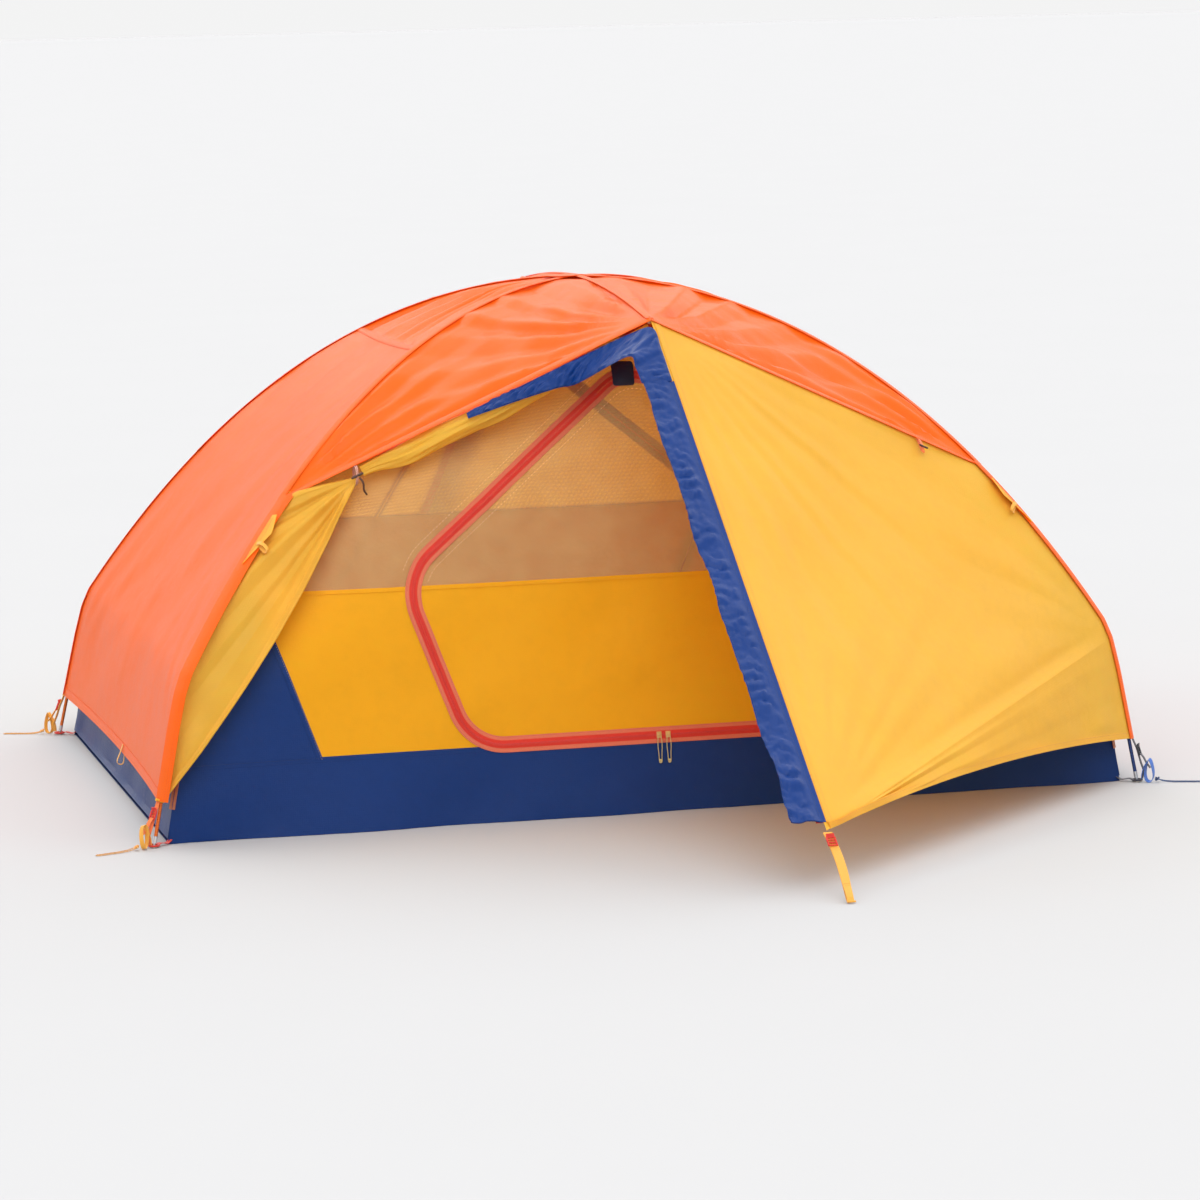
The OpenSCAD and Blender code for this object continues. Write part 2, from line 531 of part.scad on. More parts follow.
module guyout_tabs() color(amber)
    for (f = [-1, 1], sx = [-1, 1]) {
        a = fly_pt([sx, f], seam_s + 30) + [0, f * 7, 2];
        b = fly_pt([sx, f], seam_s + 150) + [0, f * 7, 2];
        c = mix(a, b, 0.95) + [-sx * 30, f * 26, -4];
        panel([row(a, mix(a, b, 0.08), 2, 1), row(mix(a, c, 0.6), mix(a, b, 0.6), 2, 1), row(c, b, 2, 1)]);
    }

// ---------- corners ----------
function foot(side) = [side[0] * foot_x, side[1] * foot_y, 0];
module corner_grommets() color("silver")
    for (side = SIDES) translate(foot(side)) rotate_extrude() translate([5, 0.2]) square([4, 4.4]);
strap_foot = 26;    // height at which the fly's corner strap ends
function away(side) = [side[0] * 0.8, side[1] * 0.6, 0];
function beside(side) = [side[0] * 0.6, -side[1] * 0.8, 0];
function strap_top(side) = fly_pt(side, hem_s) + [0, 0, -8] + away(side) * 5;
function strap_end(side) = foot(side) + [0, 0, strap_foot] + away(side) * 17;
// Webbing from the floor to the pole foot, and from the fly down to the pole foot
module corner_straps() color("orangered")
    for (side = SIDES) {
        c = wall_edge(side, 0);
        a = [c[0] + side[0] * 3, c[1] + side[1] * 3, 3];
        b = foot(side) + [0, 0, 3];
        d = unit(b - a);
        strap(a, b - d * 9, cross(d, [0, 0, 1]), 12);
        strap(strap_top(side), strap_end(side), beside(side), 11);
    }
buckle_h = 22;
module buckle(p, d, w) aim(p, d, w) difference() {
    translate([-9, -2.5, -buckle_h / 2]) cube([18, 5, buckle_h]);
    for (z = [-6, 0, 6]) translate([-6.5, -4, z - 1.2]) cube([13, 8, 2.4]);
}
module corner_buckle(side) color("crimson")
    buckle(mix(strap_top(side), strap_end(side), 0.3) + away(side) * 4.4,
           strap_end(side) - strap_top(side), beside(side));
module corner_buckle_front_left() corner_buckle([-1, -1]);
module corner_buckle_front_right() corner_buckle([1, -1]);
module corner_buckle_back_left() corner_buckle([-1, 1]);
module corner_buckle_back_right() corner_buckle([1, 1]);
function strap_dir(f) = unit(stake(f) - point(f));
module stake_buckle(f) color("crimson")
    buckle(point(f) + strap_dir(f) * 36 + cross([1, 0, 0], strap_dir(f)) * f * 6.5, strap_dir(f), [1, 0, 0]);
module stake_buckle_front() stake_buckle(-1);
module stake_buckle_back() stake_buckle(1);
loop_h = 58;
module stake_loops() color("orange")
    for (side = SIDES) {
        turn = atan2(side[1] * 0.65, side[0] * 0.75);
        translate(foot(side)) rotate([0, 0, turn]) translate([32, 5.5, 1]) rotate([90, 0, 0])
            linear_extrude(11) difference() {
                stadium(11, loop_h);
                translate([0, 1.6]) stadium(9.4, loop_h - 3.2);
            }
    }
module stadium(r, h) {
    translate([0, r]) circle(r = r);
    translate([0, h - r]) circle(r = r);
    translate([-r, r]) square([2 * r, h - 2 * r]);
}
// Two layers of webbing run from the vestibule point to the ground, on in line with the zip
function stake(f) = point(f) + [-f * 10, f * stake_reach, 4 - point_h];
module stake_straps() color("orange")
    for (f = [-1, 1], k = [-1, 1]) {
        d = strap_dir(f);
        n = cross([f, 0, 0], d) * k * 1.3;
        strap(point(f) + d * 12 + n, stake(f) + n, [1, 0, 0], 22);
    }
// Routes of the cord loops at the corners, from the stake loop out along the ground and back
loop_front_left = [[-1236, -902, 14], [-1242, -903, 9], [-1250, -906, 5], [-1262, -910, 3],
                   [-1280, -917, 2], [-1300, -925, 2], [-1316, -931, 2], [-1328, -936, 2],
                   [-1336, -937, 2], [-1340, -932, 2], [-1337, -926, 2], [-1322, -921, 2],
                   [-1302, -913, 2], [-1280, -904, 2], [-1262, -896, 3], [-1248, -891, 6],
                   [-1238, -889, 12]];
cord_r = 1.1;
module corner_cord(side) color(side[0] < 0 ? "orange" : "steelblue")
    swept([for (p = loop_front_left) [-side[0] * p[0], -side[1] * p[1], p[2]]], cord_r);
module corner_cord_front_left() corner_cord([-1, -1]);
module corner_cord_back_left() corner_cord([-1, 1]);
module corner_cord_front_right() corner_cord([1, -1]);
module corner_cord_back_right() corner_cord([1, 1]);

pole_a_left();
pole_a_right();
pole_b_left();
pole_b_right();
brow_pole();
pole_ferrules();
pole_tips();
shock_cords();
crown_hub();
pole_clips();
tub_floor();
tub_walls();
corner_gussets();
inner_lower_walls();
inner_mesh_walls();
inner_mesh_roof();
zip_garages();
front_door_lower();
front_door_mesh();
back_door_lower();
back_door_mesh();
door_zips();
front_slider_left();
front_slider_right();
back_slider_left();
back_slider_right();
front_pull_left();
front_pull_right();
back_pull_left();
back_pull_right();
fly_left();
fly_right();
fly_brow_panels();
vestibule_front_right();
vestibule_front_left();
vestibule_back_right();
vestibule_back_left();
storm_flap_front();
storm_flap_back();
storm_flap_heads();
fly_zips();
fly_slider_front();
fly_slider_back();
tieback_loops();
tieback_toggles();
guyout_tabs();
corner_straps();
corner_grommets();
stake_loops();
stake_straps();
corner_buckle_front_left();
corner_buckle_front_right();
corner_buckle_back_left();
corner_buckle_back_right();
stake_buckle_front();
stake_buckle_back();
corner_cord_front_left();
corner_cord_front_right();
corner_cord_back_left();
corner_cord_back_right();
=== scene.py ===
"""Looks of a two-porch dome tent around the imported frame: cloth, mesh, zips, webbing, cords, poles."""
import math

import bpy
import numpy as np
from mathutils import Matrix, Vector
from mathutils.geometry import delaunay_2d_cdt


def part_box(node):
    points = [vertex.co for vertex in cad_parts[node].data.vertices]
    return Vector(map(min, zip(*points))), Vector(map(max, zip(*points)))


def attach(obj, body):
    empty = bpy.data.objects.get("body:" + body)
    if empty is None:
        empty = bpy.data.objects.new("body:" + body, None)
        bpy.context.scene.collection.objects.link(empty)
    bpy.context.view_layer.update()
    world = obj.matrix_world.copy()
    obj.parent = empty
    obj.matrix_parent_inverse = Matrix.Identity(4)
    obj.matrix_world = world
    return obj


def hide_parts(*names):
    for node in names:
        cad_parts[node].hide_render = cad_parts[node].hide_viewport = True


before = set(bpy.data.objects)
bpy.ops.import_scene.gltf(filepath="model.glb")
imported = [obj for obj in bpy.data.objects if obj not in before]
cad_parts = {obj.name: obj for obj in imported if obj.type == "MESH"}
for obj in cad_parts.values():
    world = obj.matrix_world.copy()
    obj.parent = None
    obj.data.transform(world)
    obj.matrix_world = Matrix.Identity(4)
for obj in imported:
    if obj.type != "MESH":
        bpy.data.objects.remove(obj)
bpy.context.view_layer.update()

# ---------- driving dimensions, in metres, in the frame of the CAD model ----------
GROMMET_R = 0.009
FOOT = np.array(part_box("corner_grommets")[1])[:2] - GROMMET_R
CROWN_H = 1.212
LEAN = 0.043            # sideways shift of the crown
KINK_H = 0.361          # height of the bend above each foot
BOW_2, BOW_4 = 0.367, 0.034
BROW_Y, BROW_DROP = 0.740, 0.060
FLY_OFF = 0.0092        # cloth above the pole's centre line
INNER_OFF = 0.040       # inner tent below the pole's centre line
SEAM_S = 1.060          # where the brow seam meets the poles
ROOF_S = 0.600          # roof seam of the side panels
HEM_H = 0.104
POINT = np.array([0.110, 1.920, 0.133])
STAKE_REACH = 0.150
FLAP_W = 0.074
TUB_H, LOWER_H, WALL_TOP = 0.172, 0.552, 1.088
WALL_LEAN = 0.175
WALL_Y = FOOT[1] - 0.022
FLOOR_GAP = 0.0006      # cloth that rests on the ground is this far above it
CORNERS = {"front_left": (-1, -1), "front_right": (1, -1), "back_left": (-1, 1), "back_right": (1, 1)}
END = {-1: "front", 1: "back"}      # by the sign of Y
SIDE = {-1: "left", 1: "right"}     # by the sign of X


# ---------- small mathematics ----------
def arr(*v):
    return np.array(v, float)


def unit(v):
    return v / np.maximum(np.linalg.norm(v, axis=-1, keepdims=True), 1e-12)


def mix(a, b, t):
    t = np.asarray(t, float)
    if np.ndim(a) and np.ndim(t):
        t = t[..., None]
    return a + (b - a) * t


def smooth(t, low=0.0, high=1.0):
    t = np.clip((np.asarray(t, float) - low) / (high - low), 0, 1)
    return t * t * (3 - 2 * t)


def steps(a, b, n):
    return np.linspace(a, b, n)


def spline(points, n):
    """n points of a smooth curve through the given ones, evenly spaced along it."""
    p = np.asarray(points, float)
    ends = np.vstack([2 * p[0] - p[1], p, 2 * p[-1] - p[-2]])
    out = []
    for i in range(len(p) - 1):
        a, b, c, d = ends[i:i + 4]
        t = np.linspace(0, 1, 12, endpoint=False)[:, None]
        out.append(0.5 * (2 * b + (c - a) * t + (2 * a - 5 * b + 4 * c - d) * t**2
                          + (3 * b - a - 3 * c + d) * t**3))
    out = np.vstack(out + [p[-1:]])
    return even(out, n)


def even(path, n):
    """The same path with n evenly spaced points."""
    s = np.concatenate([[0], np.cumsum(np.linalg.norm(np.diff(path, axis=0), axis=1))])
    t = np.linspace(0, s[-1], n)
    return np.stack([np.interp(t, s, path[:, k]) for k in range(path.shape[1])], 1)


def waves(p, size, seed, count=9):
    """Smooth noise of about unit height, as a sum of sines with wavelengths near size."""
    rng = np.random.default_rng(seed)
    total = 0
    for _ in range(count):
        k = rng.normal(size=p.shape[-1])
        k = k / np.linalg.norm(k) * (2 * math.pi / size) * rng.uniform(0.6, 1.7)
        total = total + np.sin(p @ k + rng.uniform(0, 2 * math.pi))
    return total / math.sqrt(count)


def creases(angle, low, high, count, seed):
    """Flat facets between sharp creases at uneven angles, from -1 to 1."""
    rng = np.random.default_rng(seed)
    knots = np.linspace(low, high, count) + rng.uniform(-0.33, 0.33, count) * (high - low) / count
    heights = rng.uniform(0.35, 1, count) * np.where(np.arange(count) % 2, 1, -1)
    return np.interp(angle, np.sort(knots), heights)


def grid_normals(g):
    du = np.gradient(g, axis=0)
    dv = np.gradient(g, axis=1)
    return unit(np.cross(du, dv))


# ---------- pole line ----------
FOOT_S = float(np.hypot(*FOOT))
RUN = FOOT / FOOT_S


def s_on_arch(z):
    return math.sqrt((math.sqrt(BOW_2**2 + 4 * BOW_4 * (CROWN_H - z)) - BOW_2) / (2 * BOW_4))


KINK_S = s_on_arch(KINK_H)
LEG = -KINK_H / (FOOT_S - KINK_S)


def s_at(z):
    return FOOT_S + z / LEG if z < KINK_H else s_on_arch(z)


def skin(side, s, off):
    """Points on the pole line of one quarter, moved off it; s runs from the crown to the foot."""
    s = np.asarray(s, float)
    on_arch = s <= KINK_S
    z = np.where(on_arch, CROWN_H - BOW_2 * s**2 - BOW_4 * s**4, LEG * (s - FOOT_S))
    slope = np.where(on_arch, -(2 * BOW_2 * s + 4 * BOW_4 * s**3), LEG)
    n = unit(np.stack([-slope, np.ones_like(s)], -1))
    q, z = s + off * n[..., 0], z + off * n[..., 1]
    return np.stack([side[0] * q * RUN[0] + LEAN * z / CROWN_H, side[1] * q * RUN[1], z], -1)


EASE = 0.02             # half the length over which the cloth rounds a bend of a pole


def crest(side, s, off=FLY_OFF):
    """The fly's line over a pole, eased round the bend at the top of the leg."""
    s = np.asarray(s, float)
    before, after = np.maximum(s - EASE, 0), np.minimum(s + EASE, FOOT_S)
    return (skin(side, before, off) + 2 * skin(side, s, off) + skin(side, after, off)) / 4


def inner(side, s):
    return crest(side, s, -INNER_OFF)


def brow(y):
    z = CROWN_H - BROW_DROP * (np.asarray(y, float) / BROW_Y)**2
    return np.stack([LEAN * z / CROWN_H, y * np.ones_like(z), z + FLY_OFF], -1)


def tip(f):
    return brow(f * BROW_Y) + arr(0, f * 0.006, 0)


def point(f):
    return POINT * arr(-f, f, 1)


def seam_at(f, sx, t):
    """Along the brow seam, from the brow tip at 0 to the pole at 1."""
    return mix(tip(f), crest((sx, f), SEAM_S), t)


HEM_S = s_at(HEM_H)
TIE_T = 0.80


# ---------- meshes ----------
SHARP_ANGLE = 40        # degrees between faces beyond which an edge stays sharp
CLOTH_T, MESH_T, FLY_T = 0.0008, 0.0006, 0.0009
BAND_T, TAPE_T = 0.0010, 0.0009                 # thick of a folded band and of a sewn tape
FINE_PITCH, SEAM_PITCH = 0.005, 0.006           # between stitches on edges and on seams
SEAM_LIFT = 0.0012                              # of a seam's band above its cloth


def make_mesh(name, verts, faces, material, uv=None):
    me = bpy.data.meshes.new(name)
    me.from_pydata(np.asarray(verts).tolist(), [], [list(map(int, f)) for f in faces])
    if uv is not None:
        layer = me.uv_layers.new(name="UVMap")
        index = np.zeros(len(me.loops), np.int32)
        me.loops.foreach_get("vertex_index", index)
        layer.data.foreach_set("uv", np.asarray(uv, np.float32)[index].ravel())
    me.validate()
    me.polygons.foreach_set("use_smooth", np.ones(len(me.polygons), bool))
    me.set_sharp_from_angle(angle=math.radians(SHARP_ANGLE))
    me.materials.append(material)
    o = bpy.data.objects.new(name, me)
    bpy.context.scene.collection.objects.link(o)
    return o


def put(o, body="root", slot=None, *nodes):
    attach(o, body)
    if nodes:
        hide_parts(*nodes)
    return o


def shell(g, thick):
    """Vertices, faces and metric UVs of a thin closed sheet through a grid of points."""
    m, n = g.shape[:2]
    nrm = grid_normals(g)
    verts = np.concatenate([(g + nrm * thick / 2).reshape(-1, 3), (g - nrm * thick / 2).reshape(-1, 3)])
    k = m * n
    i, j = np.meshgrid(np.arange(m - 1), np.arange(n - 1), indexing="ij")
    a = (i * n + j).ravel()
    quads = np.stack([a, a + n, a + n + 1, a + 1], 1)
    rim = [r * n for r in range(m - 1)] + [(m - 1) * n + c for c in range(n - 1)]
    rim += [r * n + n - 1 for r in range(m - 1, 0, -1)] + list(range(n - 1, 0, -1))
    rim = np.array(rim)
    nxt = np.roll(rim, -1)
    walls = np.stack([rim, nxt, nxt + k, rim + k], 1)[:, ::-1]
    faces = np.concatenate([quads, quads[:, ::-1] + k, walls])
    u = np.cumsum(np.concatenate([np.zeros((1, n)), np.linalg.norm(np.diff(g, axis=0), axis=2)]), 0)
    v = np.cumsum(np.concatenate([np.zeros((m, 1)), np.linalg.norm(np.diff(g, axis=1), axis=2)], 1), 1)
    uv = np.stack([u.ravel(), v.ravel()], 1)
    return verts, faces, np.concatenate([uv, uv])


def cloth(name, g, material, thick=CLOTH_T):
    verts, faces, uv = shell(g, thick)
    return make_mesh(name, verts, faces, material, uv)


def joined(name, parts, material):
    """One object from several (verts, faces, uv) parts."""
    verts, faces, uvs, base = [], [], [], 0
    for v, f, uv in parts:
        verts.append(v)
        uvs.append(uv)
        faces.extend((np.asarray(q) + base) for q in f)
        base += len(v)
    return make_mesh(name, np.concatenate(verts), faces, material, np.concatenate(uvs))


def sew(name, parts, look, body, slot, *nodes):
    """One piece from several parts: look, body it rides, slot (not used) and the CAD nodes it replaces.
    """
    return put(joined(name, parts, M[look]), body, slot, *nodes)


def tube_part(path, radius, sides=12, closed=False):
    """A tube along a path; its radius may change along it."""
    path = np.asarray(path, float)
    m = len(path)
    radius = np.broadcast_to(np.asarray(radius, float), (m,))
    t = unit(np.gradient(path, axis=0))
    a = np.cross(t[0], [0, 0, 1.0]) if abs(t[0][2]) < 0.9 else np.cross(t[0], [1.0, 0, 0])
    a = unit(a)
    frames = []
    for k in range(m):
        a = unit(a - (a @ t[k]) * t[k])
        frames.append((a, np.cross(t[k], a)))
    ang = np.linspace(0, 2 * math.pi, sides, endpoint=False)
    rings = []
    for k, (u, w) in enumerate(frames):
        off = radius[k] * (np.cos(ang)[:, None] * u + np.sin(ang)[:, None] * w)
        rings.append(path[k] + off)
    verts = np.concatenate(rings)
    i, j = np.meshgrid(np.arange(m if closed else m - 1), np.arange(sides), indexing="ij")
    i, j = i.ravel(), j.ravel()
    i2, j2 = (i + 1) % m, (j + 1) % sides
    faces = list(np.stack([i * sides + j, i * sides + j2, i2 * sides + j2, i2 * sides + j], 1))
    if not closed:
        faces += [np.arange(sides)[::-1], (m - 1) * sides + np.arange(sides)]
    length = np.concatenate([[0], np.cumsum(np.linalg.norm(np.diff(path, axis=0), axis=1))])
    around = ang * float(radius.mean())
    uv = np.stack([np.repeat(length, sides), np.tile(around, m)], 1)
    return verts, faces, uv


def band_part(path, across, normal, width, thick, lift=0.0, crown=0.0, cells=4):
    """A flat strip of cloth or webbing along a path, closed, with its width along across."""
    path, m = np.asarray(path, float), len(path)
    across = unit(np.broadcast_to(across, (m, 3)).astype(float))
    normal = unit(np.broadcast_to(normal, (m, 3)).astype(float))
    w = np.linspace(-0.5, 0.5, cells + 1)
    width = np.broadcast_to(np.asarray(width, float), (m,))
    g = path[:, None] + across[:, None] * (w[None, :, None] * width[:, None, None])
    g = g + normal[:, None] * (lift + crown * (1 - 4 * w**2))[None, :, None]
    return shell(g, thick)


def loop_band(path, across, width, thick):
    """A band that follows a bent path, always square to it."""
    return band_part(path, across, np.cross(np.gradient(path, axis=0), across), width, thick)


def stitch_part(path, normal, pitch=0.0042, long=0.0028, wide=0.0007, high=0.0005):
    """A row of small raised stitches along a path."""
    path = np.asarray(path, float)
    total = float(np.linalg.norm(np.diff(path, axis=0), axis=1).sum())
    count = max(2, int(total / pitch))
    p = even(path, count)
    n = even(np.broadcast_to(unit(np.asarray(normal, float)), path.shape), count)
    t = unit(np.gradient(p, axis=0))
    n = unit(n - (n * t).sum(1, keepdims=True) * t)
    b = np.cross(t, n)
    shape = np.array([[-1, 0, 0], [-0.6, 1, 0], [-0.6, -1, 0], [-0.6, 0, 1],
                      [0.6, 1, 0], [0.6, -1, 0], [0.6, 0, 1], [1, 0, 0]], float)
    size = shape * [long / 2, wide / 2, high]
    verts = p[:, None] + size[None, :, 0:1] * t[:, None] + size[None, :, 1:2] * b[:, None]
    verts = verts + size[None, :, 2:3] * n[:, None]
    tri = np.array([[0, 1, 3], [0, 3, 2], [0, 2, 1], [7, 6, 4], [7, 5, 6], [7, 4, 5],
                    [1, 4, 6], [1, 6, 3], [2, 3, 6], [2, 6, 5], [1, 2, 5], [1, 5, 4]])
    faces = (np.arange(count)[:, None, None] * 8 + tri[None]).reshape(-1, 3)
    verts = verts.reshape(-1, 3)
    return verts, list(faces), verts[:, :2]


def box_part(centre, axes, size, bevel=0.15):
    """A block with softened edges: axes are three unit vectors, size the full lengths."""
    c, s = np.asarray(centre, float), np.asarray(size, float) / 2
    r = bevel * s.min() * 2
    verts, index = [], {}
    for k in range(3):
        for sign in np.ndindex(2, 2, 2):
            sg = np.array(sign) * 2 - 1
            p = sg * s
            inset = np.full(3, r)
            inset[k] = 0
            index[(k, sign)] = len(verts)
            verts.append(c + sum((p[i] - sg[i] * inset[i]) * axes[i] for i in range(3)))
    faces = []
    for k in range(3):
        i, j = [x for x in range(3) if x != k]
        for e in (0, 1):
            loop = []
            for a, b in ((0, 0), (1, 0), (1, 1), (0, 1)):
                sign = [0, 0, 0]
                sign[k], sign[i], sign[j] = e, a, b
                loop.append(index[(k, tuple(sign))])
            faces.append(loop)
    for k in range(3):                       # edges along axis k
        i, j = [x for x in range(3) if x != k]
        for a in (0, 1):
            for b in (0, 1):
                lo, hi = [0, 0, 0], [0, 0, 0]
                lo[i], lo[j], hi[i], hi[j], hi[k] = a, b, a, b, 1
                faces.append([index[(i, tuple(lo))], index[(i, tuple(hi))],
                              index[(j, tuple(hi))], index[(j, tuple(lo))]])
    for sign in np.ndindex(2, 2, 2):
        faces.append([index[(0, sign)], index[(1, sign)], index[(2, sign)]])
    verts = np.array(verts)
    fixed = []
    for f in faces:
        q = verts[f]
        n = np.cross(q[1] - q[0], q[2] - q[0])
        fixed.append(f if n @ (q.mean(0) - c) > 0 else f[::-1])
    return verts, fixed, verts[:, :2]


# ---------- materials ----------
class Nodes:
    """A short way to write a material's node tree."""

    def __init__(self, name):
        self.mat = bpy.data.materials.new(name)
        self.mat.use_nodes = True
        self.tree = self.mat.node_tree
        self.tree.nodes.clear()
        self.out = self.add("ShaderNodeOutputMaterial")

    def add(self, kind, inputs=None, **settings):
        n = self.tree.nodes.new(kind)
        for key, value in settings.items():
            setattr(n, key, value)
        for key, value in (inputs or {}).items():
            if isinstance(value, bpy.types.NodeSocket):
                self.tree.links.new(value, n.inputs[key])
            else:
                n.inputs[key].default_value = value
        return n

    def math(self, op, a, b=0.0):
        return self.add("ShaderNodeMath", {0: a, 1: b}, operation=op).outputs[0]

    def coords(self, kind="UV"):
        return self.add("ShaderNodeTexCoord").outputs[kind]

    def noise(self, vector, scale, detail=2.0, rough=0.5):
        n = self.add("ShaderNodeTexNoise",
                     {"Vector": vector, "Scale": scale, "Detail": detail, "Roughness": rough})
        return n.outputs["Fac"]

    def lines(self, vector, axis, pitch, sharp=1.0):
        """Threads across one axis: 0 to 1, one ridge for each pitch in metres."""
        part = self.add("ShaderNodeSeparateXYZ", {0: vector}).outputs[axis]
        wave = self.math("SINE", self.math("MULTIPLY", part, 2 * math.pi / pitch))
        return self.ridge(wave, sharp)

    def ridge(self, wave, sharp):
        up = self.add("ShaderNodeMath", {0: wave, 1: 0.5, 2: 0.5}, operation="MULTIPLY_ADD").outputs[0]
        return self.math("POWER", up, sharp)

    def ramp(self, value, *stops):
        n = self.add("ShaderNodeValToRGB", {"Fac": value})
        n.color_ramp.elements[0].position, n.color_ramp.elements[0].color = stops[0][0], (*stops[0][1], 1)
        n.color_ramp.elements[1].position, n.color_ramp.elements[1].color = stops[-1][0], (*stops[-1][1],
                                                                                           1)
        for pos, col in stops[1:-1]:
            n.color_ramp.elements.new(pos).color = (*col, 1)
        return n.outputs["Color"]

    def range(self, value, low, high):
        return self.add("ShaderNodeMapRange", {"Value": value, "To Min": low, "To Max": high}).outputs[0]

    def bump(self, height, strength, distance):
        return self.add("ShaderNodeBump",
                        {"Height": height, "Strength": strength, "Distance": distance}).outputs[0]

    def surface(self, socket):
        self.tree.links.new(socket, self.out.inputs["Surface"])
        return self.mat


def shade(c, k):
    """A linear colour k times as bright, kept below 1."""
    return tuple(min(0.98, x * k) for x in c)


def srgb(r, g, b):
    """A linear colour from a display one."""
    def channel(v):
        v = v / 255
        return v / 12.92 if v <= 0.04045 else ((v + 0.055) / 1.055) ** 2.4
    return tuple(channel(v) for v in (r, g, b))


def fabric(name, base, rough=0.42, through=0.3, grid=0.006, vary=0.05, coat=0.12):
    """Coated ripstop cloth: a fine plain weave, a raised thread grid, uneven dye and a waxy sheen."""
    n = Nodes(name)
    uv, pos = n.coords("UV"), n.coords("Object")
    weave = n.math("MULTIPLY", n.lines(uv, 0, 0.0009, 1), n.lines(uv, 1, 0.0009, 1))
    rip = n.math("MAXIMUM", n.lines(uv, 0, grid, 14), n.lines(uv, 1, grid, 14))
    cloud, streak = n.noise(pos, 3.5, 3.0), n.noise(uv, 26.0, 4.0, 0.6)
    tone = n.math("ADD", n.math("MULTIPLY", cloud, 0.55), n.math("MULTIPLY", streak, 0.45))
    dye = n.ramp(tone, (0.30, shade(base, 1 - vary)), (0.52, base), (0.74, shade(base, 1 + vary)))
    dusty = n.add("ShaderNodeMix", {"Factor": n.math("MULTIPLY", rip, 0.10), "A": dye,
                                    "B": (*shade(base, 0.72), 1)}, data_type="RGBA").outputs["Result"]
    height = n.math("ADD", n.math("MULTIPLY", weave, 0.45), n.math("MULTIPLY", rip, 0.8))
    crumple = n.math("MULTIPLY", n.noise(pos, 38.0, 3.0, 0.55), 6.0)
    normal = n.bump(n.math("ADD", height, crumple), 0.35, 0.0006)
    roughness = n.range(streak, rough - 0.07, rough + 0.09)
    top = n.add("ShaderNodeBsdfPrincipled",
                {"Base Color": dusty, "Roughness": roughness, "Normal": normal,
                 "Coat Weight": coat, "Coat Roughness": 0.14, "Specular IOR Level": 0.22,
                 "Sheen Weight": 0.03,
                 "Sheen Roughness": 0.4, "IOR": 1.42})
    back = n.add("ShaderNodeBsdfTranslucent", {"Color": dusty, "Normal": normal})
    both = n.add("ShaderNodeMixShader", {0: through, 1: top.outputs[0], 2: back.outputs[0]})
    return n.surface(both.outputs[0])


NET_PITCH = 0.0016      # between threads of the mesh


def netting(name, base, hole):
    """Fine insect mesh: threads both ways with holes that let light through."""
    n = Nodes(name)
    uv = n.coords("UV")
    threads = n.math("MAXIMUM", n.lines(uv, 0, NET_PITCH, 2), n.lines(uv, 1, NET_PITCH, 2))
    tone = n.noise(uv, 18.0, 3.0)
    dye = n.ramp(tone, (0.3, shade(base, 0.92)), (0.7, shade(base, 1.06)))
    cover = n.range(n.math("MULTIPLY", threads, n.range(tone, 0.9, 1.1)), 1 - hole - 0.22,
                    1 - hole + 0.25)
    yarn = n.add("ShaderNodeBsdfPrincipled", {"Base Color": dye, "Roughness": 0.7, "Sheen Weight": 0.2,
                                              "Normal": n.bump(threads, 0.3, 0.0004)})
    clear = n.add("ShaderNodeBsdfTransparent")
    return n.surface(n.add("ShaderNodeMixShader",
                           {0: cover, 1: clear.outputs[0], 2: yarn.outputs[0]}).outputs[0])


def webbing(name, base, pitch=0.0022):
    """Woven strap: ribs across, herringbone texture, slightly frayed valleys, painted shade in the
    valleys and a painted highlight on the rib tops.
    """
    n = Nodes(name)
    uv = n.coords("UV")
    ribs = n.math("MAXIMUM", n.lines(uv, 0, pitch, 1.5),
                  n.math("MULTIPLY", n.lines(uv, 1, pitch * 0.8, 2), 0.6))
    fuzz = n.noise(uv, 420.0, 3.0)
    # The colour follows the ribs: painted shade down to 62% in the valleys between them and a painted
    # highlight on their tops.
    dye = n.ramp(n.math("MULTIPLY", ribs, n.range(fuzz, 0.7, 1.2)),
                 (0.05, shade(base, 0.62)), (0.55, base), (0.95, shade(base, 1.12)))
    normal = n.bump(n.math("ADD", ribs, n.math("MULTIPLY", fuzz, 0.4)), 0.6, 0.0007)
    b = n.add("ShaderNodeBsdfPrincipled", {"Base Color": dye, "Roughness": n.range(fuzz, 0.55, 0.8),
                                           "Normal": normal, "Sheen Weight": 0.25,
                                           "Sheen Roughness": 0.5})
    return n.surface(b.outputs[0])


def braid(name, base, fleck, pitch=0.0045):
    """Braided cord: twisted strands with a light tracer thread, painted shade between the strands and a
    painted highlight on their tops.
    """
    n = Nodes(name)
    uv = n.coords("UV")
    sep = n.add("ShaderNodeSeparateXYZ", {0: uv})
    lean = n.math("ADD", sep.outputs[0], n.math("MULTIPLY", sep.outputs[1], 1.2))
    strands = n.ridge(n.math("SINE", n.math("MULTIPLY", lean, 2 * math.pi / pitch)), 1)
    tracer = n.ridge(n.math("SINE", n.math("MULTIPLY", lean, math.pi / pitch)), 10)
    # Painted shade in the grooves between strands and a painted highlight on the strand tops.
    dye = n.ramp(strands, (0.1, shade(base, 0.6)), (0.9, shade(base, 1.1)))
    mixed = n.add("ShaderNodeMix", {"Factor": tracer, "A": dye, "B": (*fleck, 1)}, data_type="RGBA")
    b = n.add("ShaderNodeBsdfPrincipled",
              {"Base Color": mixed.outputs["Result"], "Normal": n.bump(strands, 0.7, 0.0006),
               "Roughness": n.range(strands, 0.6, 0.75), "Sheen Weight": 0.2})
    return n.surface(b.outputs[0])


